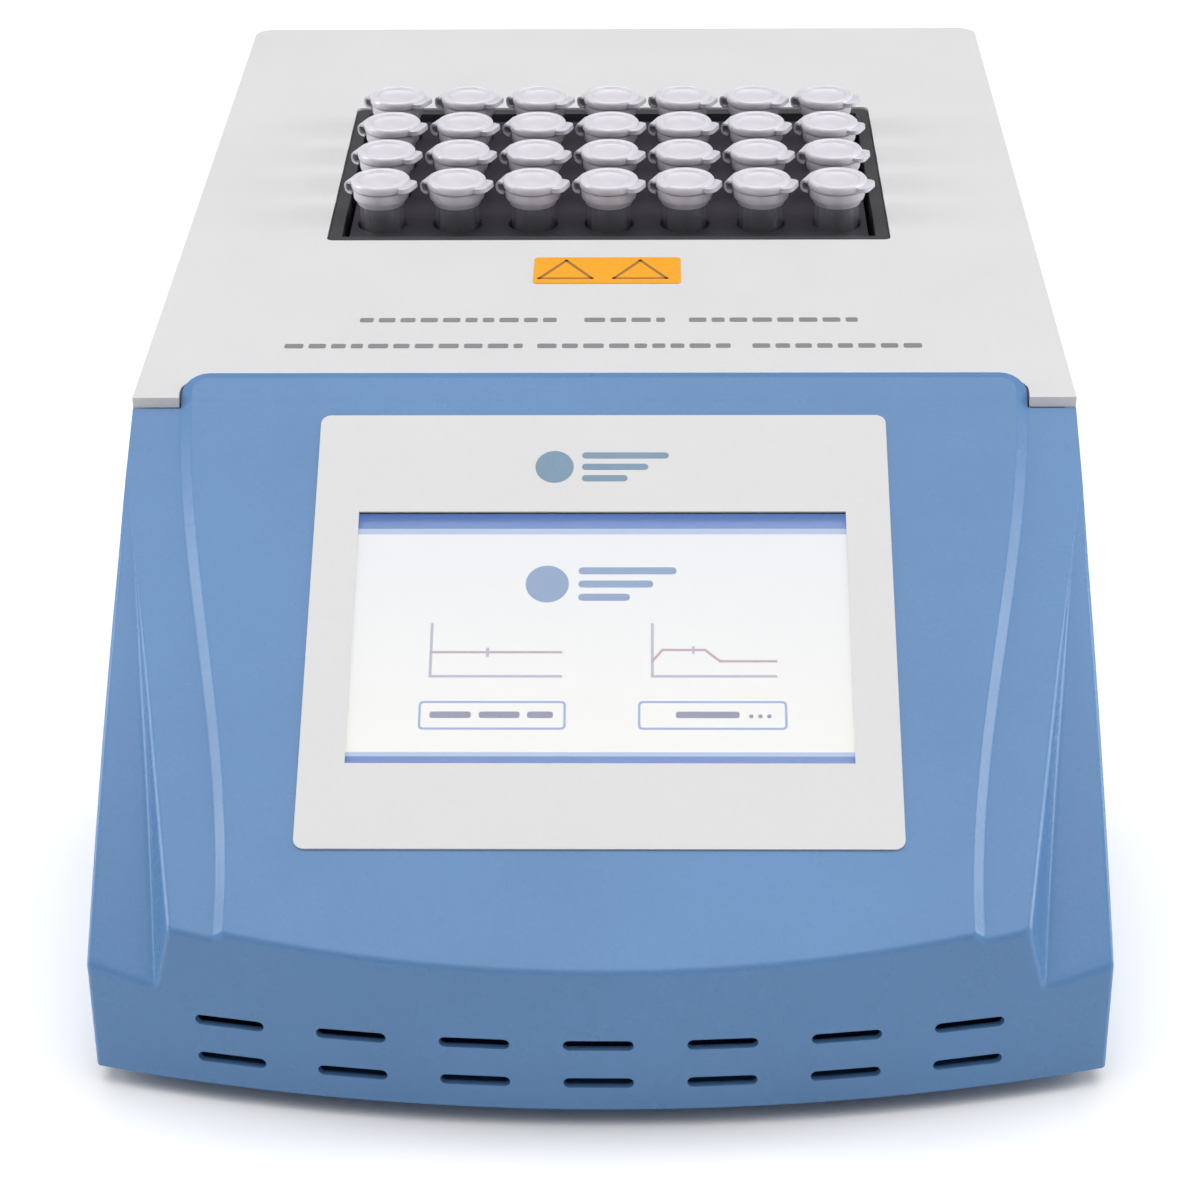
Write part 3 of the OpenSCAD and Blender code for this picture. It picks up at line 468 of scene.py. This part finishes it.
def shell_columns():
    """Lines of points from the rounded front edge back to the seam, for the half with x >= 0."""
    sections = np.array([section(y) for y in SHELL_YS])
    count = sections.shape[1]
    edge_steps, rows, crowding = 4, 64, 1.15  # the rows are a little closer at the front

    def at(i, y):
        return np.interp(y, SHELL_YS, sections[:, i, 0]), np.interp(y, SHELL_YS, sections[:, i, 1])

    def front_y(i):
        """Where line i meets the bowed wall, found in a few rounds."""
        y = 0.0
        for _ in range(8):
            y = bow(at(i, y)[0])
        return y

    columns = []
    for i in range(count):
        column = []
        y0 = front_y(i)
        before, after = at(max(i - 1, 0), y0), at(min(i + 1, count - 1), y0)
        normal = np.array([before[1] - after[1], after[0] - before[0]])
        normal /= np.linalg.norm(normal)
        for k in range(edge_steps, -1, -1):
            angle = math.pi / 2 * k / edge_steps
            sink = FRONT_EDGE_R * (1 - math.cos(angle))
            back = FRONT_EDGE_R * (1 - math.sin(angle))
            x, z = at(i, y0 + back)
            x, z = x - normal[0] * sink, z - normal[1] * sink
            column.append((x, bow(x) + back, max(z, 0)))
        start = column[-1][1]
        for r in range(1, rows + 1):
            y = start + (SEAM_Y - start) * (r / rows) ** crowding
            x, z = at(i, y)
            column.append((x, y, z))
        columns.append(column)
    return columns


def skin_over(bm, columns):
    """The top and sides of the shell, from the columns and their mirror images."""
    halves = []
    for side in (-1, 1):
        halves.append([[bm.verts.new(case(side * x, y, z)) for x, y, z in c] for c in columns[1:]])
    middle = [bm.verts.new(case(x, y, z)) for x, y, z in columns[0]]
    order = halves[0][::-1] + [middle] + halves[1]
    for c, d in zip(order, order[1:]):
        for r in range(len(c) - 1):
            bm.faces.new((c[r], d[r], d[r + 1], c[r + 1]))


def in_vent(x, z, margin):
    """Whether a point of the front wall is in a vent, or nearer to one than the margin."""
    return any(
        math.hypot(max(abs(x - vent_x) - VENT_REACH, 0), z - vent_z) < VENT_R + margin
        for vent_x in VENT_XS
        for vent_z in VENT_ZS
    )


def vent_outline(vent_x, vent_z):
    """Points round a vent, from the bottom of its right end."""
    out = []
    for side, start in ((1, -90), (-1, 90)):
        for k in range(9):
            a = math.radians(start + 22.5 * k)
            x = vent_x + side * VENT_REACH + VENT_R * math.cos(a)
            out.append(Vector((x, vent_z + VENT_R * math.sin(a))))
    return out


def front_wall(bm, columns):
    """The bowed wall, flat in (x, z) while it is cut into triangles round its vents."""
    rim = [(-c[0][0], c[0][2]) for c in columns[:0:-1]] + [(c[0][0], c[0][2]) for c in columns]
    points = [Vector(p) for p in rim]
    underside = np.linspace(rim[-1][0], rim[0][0], 40)[1:-1]
    points += [Vector((x, 0)) for x in underside]
    outer = list(range(len(points)))
    edges = []
    for vent_x in VENT_XS:
        for vent_z in VENT_ZS:
            first = len(points)
            points += vent_outline(vent_x, vent_z)
            last = len(points) - 1
            edges += [(k, k + 1) for k in range(first, last)] + [(last, first)]
    rim_x, rim_z = np.array(sorted(rim)).T
    end_x, low_z, step_x, step_z = 91, 1.6, 3.25, 3.1
    rim_clear, vent_clear = 2.5, 0.7
    for x in np.arange(-end_x, end_x + 0.1, step_x):
        zs = np.arange(low_z, float(np.interp(x, rim_x, rim_z)) - rim_clear, step_z)
        points += [Vector((x, z)) for z in zs if not in_vent(x, z, vent_clear)]
    verts, _, faces, _, _, _ = delaunay_2d_cdt(points, edges, [outer], 1, 1e-5)
    made = [bm.verts.new(case(p.x, bow(p.x), p.y)) for p in verts]
    for f in faces:
        centre = sum((verts[i] for i in f), Vector((0, 0))) / len(f)
        if not in_vent(centre.x, centre.y, -0.01):
            bm.faces.new([made[i] for i in f])
    # Joins the wall's rim to the skin behind it.
    bmesh.ops.remove_doubles(bm, verts=bm.verts, dist=8e-6)
    bmesh.ops.dissolve_degenerate(bm, dist=1e-6, edges=bm.edges)
    bmesh.ops.delete(bm, geom=[v for v in bm.verts if not v.link_faces], context="VERTS")


def cut_aperture(bm):
    """The screen's opening in the console."""
    origin = on_console(0, WINDOW_MID, 0)
    up = (on_console(0, 1, 0) - on_console(0, 0, 0)).normalized()
    for way, reach in ((Vector((1, 0, 0)), APERTURE_HALF_W), (up, APERTURE_HALF_L)):
        for side in (-1, 1):
            at = origin + way * side * reach * MM
            geom = bm.verts[:] + bm.edges[:] + bm.faces[:]
            bmesh.ops.bisect_plane(bm, geom=geom, plane_co=at, plane_no=way, dist=1e-7)
    gone = []
    for f in bm.faces:
        c = f.calc_center_median() - origin
        inside = abs(c.x) < APERTURE_HALF_W * MM and abs(c.dot(up)) < APERTURE_HALF_L * MM
        if inside and f.normal.z**2 > 0.5:
            gone.append(f)
    bmesh.ops.delete(bm, geom=gone, context="FACES")


def front_shell():
    bm = bmesh.new()
    columns = shell_columns()
    skin_over(bm, columns)
    front_wall(bm, columns)
    cut_aperture(bm)
    bmesh.ops.recalc_face_normals(bm, faces=bm.faces)
    obj = piece("front_shell_skin", bm, BLUE, slot="blue_plastic", angle=40)
    wall = obj.modifiers.new("wall", "SOLIDIFY")
    wall.thickness = SHELL_T * MM
    wall.offset = -1
    apply_modifiers(obj, 40)
    even_shading(obj)
    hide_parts("front_shell")


def lip_outline(d, h):
    """The lip's right half from the seam round to the middle of its back, in (u, v).

    It runs d outside the edge of the console's flat top, at the height h off it.
    """
    corner_r = 3.0
    front_v = (SEAM_Y - 0.02 + h * SIN) / COS
    path = [(console_top(v), v) for v in np.linspace(front_v, LIP_BACK_V - corner_r, 4)]
    corner_u, corner_v = path[-1][0] - corner_r, LIP_BACK_V - corner_r
    for a in np.radians(range(15, 91, 15)):
        path.append((corner_u + corner_r * math.cos(a), corner_v + corner_r * math.sin(a)))
    path += [(u, LIP_BACK_V) for u in np.linspace(corner_u, 0, 14)[1:]]
    path = np.array(path)
    along = np.gradient(path, axis=0)
    along /= np.linalg.norm(along, axis=1)[:, None]
    out = path + d * np.stack([along[:, 1], -along[:, 0]], 1)
    out[:, 0] = np.maximum(out[:, 0], 0)
    out[-1, 0] = 0
    out[0, 1] = front_v
    return out


def console_lip():
    """The rear end of the raised console, which reaches past the seam over the cover."""
    # Of (d, h), from the flat top over its edge and down.
    profile = rounded_path([(-1.3, 0), (0, 0), (FLANK, -RISE), (FLANK, -4)], [0.9, 0.5], 5)
    bm = bmesh.new()
    rings = []
    for d, h in profile:
        outline = lip_outline(float(d), float(h))
        right = [bm.verts.new(on_console(u, v, h)) for u, v in outline]
        left = [bm.verts.new(on_console(-u, v, h)) for u, v in outline[:-1]]
        rings.append(right + left[::-1])
    for a, b in zip(rings, rings[1:]):
        for k in range(len(a) - 1):
            bm.faces.new((a[k], a[k + 1], b[k + 1], b[k]))
    bm.faces.new(rings[0][::-1])
    bm.faces.new(rings[-1])
    bm.faces.new([ring[0] for ring in rings] + [ring[-1] for ring in rings[::-1]])
    bmesh.ops.recalc_face_normals(bm, faces=bm.faces)
    even_shading(piece("console_lip", bm, BLUE, slot="blue_plastic", angle=40))


front_shell()
console_lip()

# ---------- Cover, liner, block and the rest of the case ----------

refined("top_cover", "cover_skin", 0.9, WHITE, slot="white_plastic", segments=3)
refined("recess_liner", "liner_skin", 0.35, CHARCOAL, slot="dark_plastic")
refined("tube_block", "block_skin", 0.45, ANODISED, body="block", slot="anodised")
refined("rear_panel", "rear_panel_skin", 0.25, CHARCOAL, slot="dark_plastic")
refined("base_pan", "pan_skin", 0.4, BLUE, slot="blue_plastic")
refined("inlet_socket", "inlet_skin", 0.35, BLACK, slot="black_plastic")
refined("switch_housing", "switch_skin", 0.35, BLACK, slot="black_plastic")
refined("power_rocker", "rocker_skin", 0.5, BLACK, body="rocker", slot="black_plastic")
paint(RUBBER, "rubber_feet")
paint(BLACK, "fuse_drawer")
paint(STEEL, "case_screws", "board_screws", "support_posts", "temperature_probe", "thermal_cutout")
paint(NICKEL, "inlet_pins", "fuses")
paint(BRASS, "display_standoffs")
paint(ALUMINIUM, "heater_plate", "triac_heatsink")
paint(BOARD, "main_board", "power_supply", "display_board")
paint(INSULATION, "insulation_tray")
paint(ELEMENT, "heating_element")
paint(WIRE, "wire_harness")
paint(RIBBON, "ribbon_cable")
paint(DISPLAY_FRAME, "display_module")
paint(GLASS, "touch_glass")
paint(OVERLAY, "membrane_overlay")
paint(LABEL, "top_label")

# ---------- Tubes ----------

CAP_INDEX, BODY_INDEX = 0, 1  # the tube's two materials
TUBE_SIDES = 40

# Profiles of (radius, height), the height from the rim that the cap closes.
BARREL = [
    (4.6, -0.15), (5.9, -0.15), (6.2, -0.35), (6.25, -0.8), (6.25, -2.1), (6.1, -2.55), (5.6, -2.75),
    (5.45, -3.2), (5.35, -3.75), (5.0, -3.95), (4.95, -4.4), (4.95, -19.4), (4.88, -20.0),
]
CONE = [(3.4, -28.3), (1.98, -36.2), (1.75, -37.3), (1.3, -38.05), (0.7, -38.45), (0, -38.55)]
INSIDE = [
    (0, -37.6), (0.6, -37.4), (0.95, -36.8), (1.15, -36.0), (2.6, -28.2), (4.0, -20.2),
    (4.1, -19.4), (4.1, -3.0), (4.3, -0.6), (4.6, -0.15),
]
CAP_TOP = [(0, 1.15), (3.6, 1.15), (4.6, 1.2), (4.95, 1.35), (5.15, 1.7), (5.4, 1.92), (5.9, 1.98)]
CAP_SIDE = [(6.35, 1.9), (6.62, 1.6), (6.68, 1.1), (6.68, 0.45), (6.55, 0.1), (6.2, -0.05), (4.05, -0.08)]
CAP_PLUG = [(3.95, -0.6), (3.95, -2.0), (3.7, -2.4), (3.3, -2.4), (3.1, -2.0), (3.1, 0.2), (0, 0.2)]

# Straps of (distance from the axis, half width, height).
THUMB_TAB = [(6.0, 3.3, 0.8), (6.9, 3.2, 0.8), (7.6, 2.9, 0.85), (8.1, 2.3, 0.9), (8.3, 1.4, 0.95)]
LIVING_HINGE = [
    (-6.0, 3.2, 0.9), (-6.8, 3.0, 0.95), (-7.4, 2.75, 0.75), (-7.75, 2.6, 0.25),
    (-7.8, 2.55, -0.45), (-7.6, 2.6, -1.15), (-7.0, 2.8, -1.5), (-6.0, 3.0, -1.5),
]


def lathe(bm, profile, material_index):
    """Turns a profile of (radius, height) about Z. A radius of 0 closes it to a point."""
    angles = [2 * math.pi * k / TUBE_SIDES for k in range(TUBE_SIDES)]
    rings = []
    for r, z in profile:
        if r == 0:
            rings.append([bm.verts.new((0, 0, z * MM))])
            continue
        rings.append([bm.verts.new((r * MM * math.cos(a), r * MM * math.sin(a), z * MM)) for a in angles])
    for a, b in zip(rings, rings[1:]):
        for k in range(TUBE_SIDES):
            j = (k + 1) % TUBE_SIDES
            if len(a) == 1 and len(b) == 1:
                continue
            if len(a) == 1:
                corners = (a[0], b[j], b[k])
            elif len(b) == 1:
                corners = (a[k], a[j], b[0])
            else:
                corners = (a[k], a[j], b[j], b[k])
            bm.faces.new(corners).material_index = material_index


def strap(bm, stations, thickness):
    """A flat strap of even thickness through the stations."""
    rows = [[Vector((d, -w, z)), Vector((d, w, z))] for d, w, z in stations]
    last = len(rows) - 1
    tops, bottoms = [], []
    for i, row in enumerate(rows):
        p, q = rows[max(i - 1, 0)][0], rows[min(i + 1, last)][0]
        along = Vector((q.x - p.x, 0, q.z - p.z)).normalized()
        normal = Vector((-along.z, 0, along.x)) * thickness / 2
        tops.append([bm.verts.new((v + normal) * MM) for v in row])
        bottoms.append([bm.verts.new((v - normal) * MM) for v in row])
    made = []
    for i in range(last):
        made.append(bm.faces.new((tops[i][0], tops[i + 1][0], tops[i + 1][1], tops[i][1])))
        made.append(bm.faces.new((bottoms[i][1], bottoms[i + 1][1], bottoms[i + 1][0], bottoms[i][0])))
        made.append(bm.faces.new((tops[i][0], bottoms[i][0], bottoms[i + 1][0], tops[i + 1][0])))
        made.append(bm.faces.new((tops[i + 1][1], bottoms[i + 1][1], bottoms[i][1], tops[i][1])))
    made.append(bm.faces.new((tops[0][0], tops[0][1], bottoms[0][1], bottoms[0][0])))
    made.append(bm.faces.new((bottoms[last][0], bottoms[last][1], tops[last][1], tops[last][0])))
    for f in made:
        f.material_index = CAP_INDEX
    bmesh.ops.recalc_face_normals(bm, faces=made)


def tube_mesh():
    bm = bmesh.new()
    lathe(bm, BARREL + CONE + INSIDE, BODY_INDEX)
    collar_foot = -4.0 * MM  # the collar is thick, so it looks like the cap
    for f in bm.faces:
        if all(v.co.z > collar_foot for v in f.verts):
            f.material_index = CAP_INDEX
    lathe(bm, CAP_TOP + CAP_SIDE + CAP_PLUG, CAP_INDEX)
    strap(bm, THUMB_TAB, 1.0)
    strap(bm, LIVING_HINGE, 0.5)
    bmesh.ops.remove_doubles(bm, verts=bm.verts, dist=1e-7)
    mesh = mesh_of("tube_shape", bm, PP_CAP, PP_BODY)
    finish_mesh(mesh, 38)
    return mesh


def tubes():
    """One tube in every well, each turned a little differently."""
    mesh = tube_mesh()
    chance = random.Random(11)
    rim_z = BLOCK_TOP + 9.0
    usual_turn, spread = -23, 2.5  # degrees
    for r in range(1, 5):
        for c in range(1, 8):
            node = f"tube_r{r}_c{c}"
            obj = new_object(node + "_look", mesh)
            at = case((c - 4) * COLUMN_PITCH, BLOCK_Y + (r - 2.5) * ROW_PITCH, rim_z)
            turn = math.radians(usual_turn + chance.uniform(-spread, spread))
            obj.matrix_world = Matrix.Translation(at) @ Matrix.Rotation(turn, 4, "Z")
            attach(obj, node)
            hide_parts(node)


tubes()

# ---------- Thin prints, labels and the lit screen ----------

PRINT_T = 0.04
PRINT = (0.0, PRINT_T)  # a print's lower and upper face, over its surface


def slab(bm, points, place, low, high, index=0):
    """A thin flat piece with the outline points, from the height low to high over a surface."""
    bottom = [bm.verts.new(place(x, y, low)) for x, y in points]
    top = [bm.verts.new(place(x, y, high)) for x, y in points]
    made = [bm.faces.new(top), bm.faces.new(bottom[::-1])]
    for i in range(len(points)):
        j = (i + 1) % len(points)
        made.append(bm.faces.new((bottom[i], bottom[j], top[j], top[i])))
    for f in made:
        f.material_index = index


def rectangle(x0, y0, x1, y1):
    return [(x0, y0), (x1, y0), (x1, y1), (x0, y1)]


def pill(x0, y0, x1, y1, r=None, steps=4):
    """A rectangle with corners of radius r, or with round ends where none is given."""
    r = min((y1 - y0) / 2, (x1 - x0) / 2) if r is None else r
    left, right, low, high = x0 + r, x1 - r, y0 + r, y1 - r
    out = []
    for cx, cy, a0 in ((right, low, -90), (right, high, 0), (left, high, 90), (left, low, 180)):
        for k in range(steps + 1):
            a = math.radians(a0 + 90 * k / steps)
            out.append((cx + r * math.cos(a), cy + r * math.sin(a)))
    return out


def circle(cx, cy, r, count=24):
    """Points round a circle, the first one again at the end."""
    return [(cx + r * math.cos(a), cy + r * math.sin(a)) for a in np.linspace(0, 2 * math.pi, count + 1)]


def stroke(bm, points, width, place, low, high, index=0):
    """A line through the points, each stretch of it a slab with square ends."""
    for start, end in zip(points, points[1:]):
        a, b = Vector(start), Vector(end)
        d = (b - a).normalized() * width / 2
        n = Vector((-d.y, d.x))
        slab(bm, [a - d + n, a - d - n, b + d - n, b + d + n], place, low, high, index)


def over_cover(x, y, h):
    return case(x, y, COVER_Z + h)


def over_overlay(u, v, h):
    """v from the overlay's lower edge, h over its face."""
    return on_console(u, OVERLAY_LOW + v, 0.4 + h)


def over_screen(u, v, h):
    """v from the overlay's lower edge, h over the display's face behind the glass."""
    return on_console(u, OVERLAY_LOW + v, -1.9 + h)


def emblem(bm, place, cx, cy, size, low, high):
    """A plain mark: a disc beside three bars of different lengths."""
    slab(bm, circle(cx - size * 1.05, cy, size * 0.42)[:-1], place, low, high)
    left, half = cx - size * 0.45, size * 0.08
    for k, length in enumerate((1.9, 1.45, 1.0)):
        y = cy + size * (0.3 - 0.3 * k)
        slab(bm, pill(left, y - half, left + size * length, y + half), place, low, high)
    bmesh.ops.remove_doubles(bm, verts=bm.verts, dist=1e-7)


def cover_print():
    """Two rows of plain dashes of uneven length, in groups."""
    rows = (
        (134.6, ((-51.8, -9), (-4.5, 12.5), (17.5, 54.6))),
        (121.4, ((-66.4, -17), (-14, 26), (30.5, 65.5))),
    )
    half_h, gap, shortest = 1.1, 1.1, 1
    bm = bmesh.new()
    chance = random.Random(3)
    for y, groups in rows:
        for x, end in groups:
            while x < end - shortest:
                length = min(chance.uniform(2.4, 4.4), end - x)
                slab(bm, pill(x, y - half_h, x + length, y + half_h, 0.5), over_cover, *PRINT)
                x += length + gap
    piece("cover_print", bm, INK, slot="white_plastic")


def label_marks():
    """Two plain triangles on the label."""
    label_y, label_t, r, line_w = 159.8, 0.15, 6.572, 0.75
    turns = np.radians((0, 120, 240, 360))
    bm = bmesh.new()
    for cx in (-9.0, 7.2):
        corners = [(cx + r * math.sin(a), label_y + r * math.cos(a)) for a in turns]
        stroke(bm, corners, line_w, over_cover, label_t, label_t + PRINT_T)
    piece("label_marks", bm, LABEL_INK, slot="label")


def overlay_emblem():
    bm = bmesh.new()
    emblem(bm, over_overlay, 0, 84.2, 9.0, *PRINT)
    piece("overlay_emblem", bm, SLATE, slot="overlay_film")


def rocker_marks():
    """The bar and the ring on the two halves of the rocker, which rests in its on position."""
    tilt = ROCKER_SWING / 2
    hollow_y, rise, reach = 3.5, 1.3, 12.0  # each half of the face slants out from the middle
    slant = math.atan2(rise, reach)

    def on_half(side):
        """Places on the upper half, with side 1, or on the lower, with side -1."""

        def place(x, t, h):
            y = hollow_y + t * math.sin(slant) + h * math.cos(slant)
            z = side * (t * math.cos(slant) - h * math.sin(slant))
            turned_y = y * math.cos(tilt) - z * math.sin(tilt)
            turned_z = y * math.sin(tilt) + z * math.cos(tilt)
            return case(ROCKER_X + x, ROCKER_PIVOT_Y + turned_y, ROCKER_Z + turned_z)

        return place

    bm = bmesh.new()
    low, high, half_w, mid, half_l, ring_r, line_w = 0.0, 0.05, 0.35, 6.2, 2.0, 2.0, 0.6
    slab(bm, pill(-half_w, mid - half_l, half_w, mid + half_l, 0.3), on_half(1), low, high)
    stroke(bm, circle(0, mid, ring_r), line_w, on_half(-1), low, high)
    bmesh.ops.recalc_face_normals(bm, faces=bm.faces)
    piece("rocker_marks", bm, WHITE, body="rocker", slot="white_plastic")


cover_print()
label_marks()
overlay_emblem()
rocker_marks()


PAPER, BAR, PALE, BUTTON, AXIS, TRACE, CAPTION = range(7)  # places in screen_materials()


def screen_materials(low_z, high_z):
    """The screen's colours. The white cools a little from the lower edge to the upper."""
    return [
        lit("screen_white", srgb(252, 250, 241), 0.82, srgb(240, 239, 241), "Z", low_z, high_z),
        lit("screen_bar", srgb(70, 112, 184), 0.85, srgb(84, 124, 192), "X", -0.05, 0.05),
        lit("screen_pale_blue", srgb(176, 196, 228), 0.8),
        lit("screen_button_line", srgb(140, 166, 214), 0.8),
        lit("screen_grey_line", srgb(180, 180, 198), 0.8),
        lit("screen_trace", srgb(190, 152, 174), 0.8),
        lit("screen_caption", srgb(128, 128, 154), 0.8),
    ]


def layer(n):
    """The lower and upper face of the n-th layer drawn on the screen."""
    return 0.01 + 0.01 * n, 0.02 + 0.01 * n


def screen_background(bm, low, high):
    """The white page with its dark bars and pale borders at both ends."""
    half = WINDOW_W / 2 + 0.6
    slab(bm, rectangle(-half, low, half, high), over_screen, 0.0, 0.02, PAPER)
    for v0, v1, index in ((70.9, high, BAR), (69.6, 70.9, PALE), (low, 20.3, BAR), (20.3, 21.2, PALE)):
        slab(bm, rectangle(-half, v0, half, v1), over_screen, *layer(1), index)


def screen_graphs(bm):
    """Two line charts, each with an L of axes, a trace and a tick on the trace."""
    base_v, top_v = 37.6, 49.1
    flat = [(-32.4, 42.9), (-7.6, 42.9)]
    ramp = [(9.8, 40.9), (11.7, 43.4), (19.8, 43.4), (22.7, 40.9), (33.3, 40.9)]
    for u0, u1, trace in ((-32.4, -7.6, flat), (9.8, 33.2, ramp)):
        stroke(bm, [(u0, top_v), (u0, base_v), (u1, base_v)], 0.55, over_screen, *layer(1), AXIS)
        stroke(bm, trace, 0.5, over_screen, *layer(2), TRACE)
    stroke(bm, [(-21.6, 42.2), (-21.6, 43.6)], 0.6, over_screen, *layer(3), AXIS)
    stroke(bm, [(17.6, 42.8), (17.6, 44.0)], 0.5, over_screen, *layer(3), AXIS)


def screen_buttons(bm):
    """Two outlined buttons, with bars and dots for their captions."""
    low, high, corner_r, line_w = 26.0, 32.2, 0.9, 0.45
    inside_low, inside_high = 0.029, 0.039  # stands a little out of the outline
    for u0, u1 in ((-34.3, -6.5), (7.1, 35.2)):
        slab(bm, pill(u0, low, u1, high, corner_r), over_screen, *layer(1), BUTTON)
        inside = pill(u0 + line_w, low + line_w, u1 - line_w, high - line_w, corner_r - 0.8 * line_w)
        slab(bm, inside, over_screen, inside_low, inside_high, PAPER)
    foot, bar_h, dot_h = 28.5, 1.4, 0.8
    for u0, u1 in ((-32.2, -24.4), (-22.9, -15.2), (-13.8, -8.9), (14.2, 26.2)):
        slab(bm, pill(u0, foot, u1, foot + bar_h, 0.5), over_screen, *layer(3), CAPTION)
    for u in (28.0, 29.7, 31.4):
        slab(bm, pill(u, foot, u + dot_h, foot + dot_h, 0.3), over_screen, *layer(3), CAPTION)


def screen_face():
    margin = 0.6  # reaches this far under the overlay
    low, high = WINDOW_LOW, WINDOW_LOW + WINDOW_L
    materials = screen_materials(over_screen(0, low, 0).z, over_screen(0, high, 0).z)
    bm = bmesh.new()
    screen_background(bm, low - margin, high + margin)
    screen_graphs(bm)
    screen_buttons(bm)
    piece("screen_face", bm, *materials, slot="screen", angle=None)
    bm = bmesh.new()
    emblem(bm, over_screen, 0, 58.2, 10.0, *layer(1))
    piece("screen_emblem", bm, lit("screen_mark", srgb(120, 150, 190), 0.8), slot="screen", angle=None)


screen_face()

# ---------- Stage: floor, light and camera ----------


def studio_floor():
    bm = bmesh.new()
    bmesh.ops.create_grid(bm, x_segments=2, y_segments=2, size=6)
    n = Nodes("floor_pale")
    pale = n.ramp(n.noise(6, 3, 0.5), [(0.3, grey(0.92)), (0.7, grey(0.94))])
    n.link(pale, "Color", n.bsdf, "Base Color")
    n.set(Roughness=0.8)
    floor = new_object("floor", mesh_of("floor", bm, n.material))
    floor.location.z = -0.2 * MM  # clear of the feet's own faces


def studio_sky():
    """A sky that is bright overhead and at the horizon, and dim between them."""
    world = bpy.data.worlds.new("studio")
    bpy.context.scene.world = world
    world.use_nodes = True
    tree = world.node_tree
    where = tree.nodes.new("ShaderNodeTexCoord")
    split = tree.nodes.new("ShaderNodeSeparateXYZ")
    height = tree.nodes.new("ShaderNodeValToRGB")
    tree.links.new(where.outputs["Generated"], split.inputs["Vector"])
    tree.links.new(split.outputs["Z"], height.inputs["Fac"])
    tree.links.new(height.outputs["Color"], tree.nodes["Background"].inputs["Color"])
    stops = height.color_ramp.elements
    for rise, light in [(0.06, 0.27), (0.2, 0.08), (0.5, 0.08), (0.8, 0.34), (0.9, 1.0)]:
        stops.new(rise).color = (light, light, 1.01 * light, 1)
    stops[0].color = (0.36, 0.36, 0.365, 1)
    stops[len(stops) - 1].color = grey(1.0)
    tree.nodes["Background"].inputs["Strength"].default_value = 2.6


def side_panel(name, x, watts):
    """A tall soft light beside the object, which draws the highlights on the shell's edges."""
    light = bpy.data.lights.new(name, "AREA")
    light.shape = "RECTANGLE"
    light.size, light.size_y = 0.3, 0.9
    light.energy = watts
    panel = new_object(name, light)
    panel.location = (x, 0.05, 0.48)
    aim = Vector((0, 0, 0.06))
    panel.rotation_euler = (aim - panel.location).to_track_quat("-Z", "Y").to_euler()


def add_camera():
    """In front of the case and above it, looking down at the screen."""
    yaw, pitch, roll = math.radians(-1.08), math.radians(29.0), math.radians(-0.52)
    level = math.cos(pitch)
    forward = Vector((math.sin(yaw) * level, math.cos(yaw) * level, -math.sin(pitch)))
    level_right = Vector((math.cos(yaw), -math.sin(yaw), 0))
    level_up = level_right.cross(forward)
    right = math.cos(roll) * level_right + math.sin(roll) * level_up
    up = -math.sin(roll) * level_right + math.cos(roll) * level_up
    lens = bpy.data.cameras.new("camera")
    lens.sensor_width = 36
    lens.lens = 93.26
    lens.clip_start, lens.clip_end = 0.01, 50
    camera = new_object("camera", lens)
    basis = Matrix((right, up, -forward)).transposed().to_4x4()
    camera.matrix_world = Matrix.Translation(case(9.59, -466.34, 358.24)) @ basis
    bpy.context.scene.camera = camera


studio_floor()
studio_sky()
side_panel("right_panel", 1.15, 6.8)
side_panel("left_panel", -1.15, 6.2)
add_camera()
bpy.context.scene.view_settings.view_transform = "Standard"
bpy.context.scene.view_settings.look = "None"
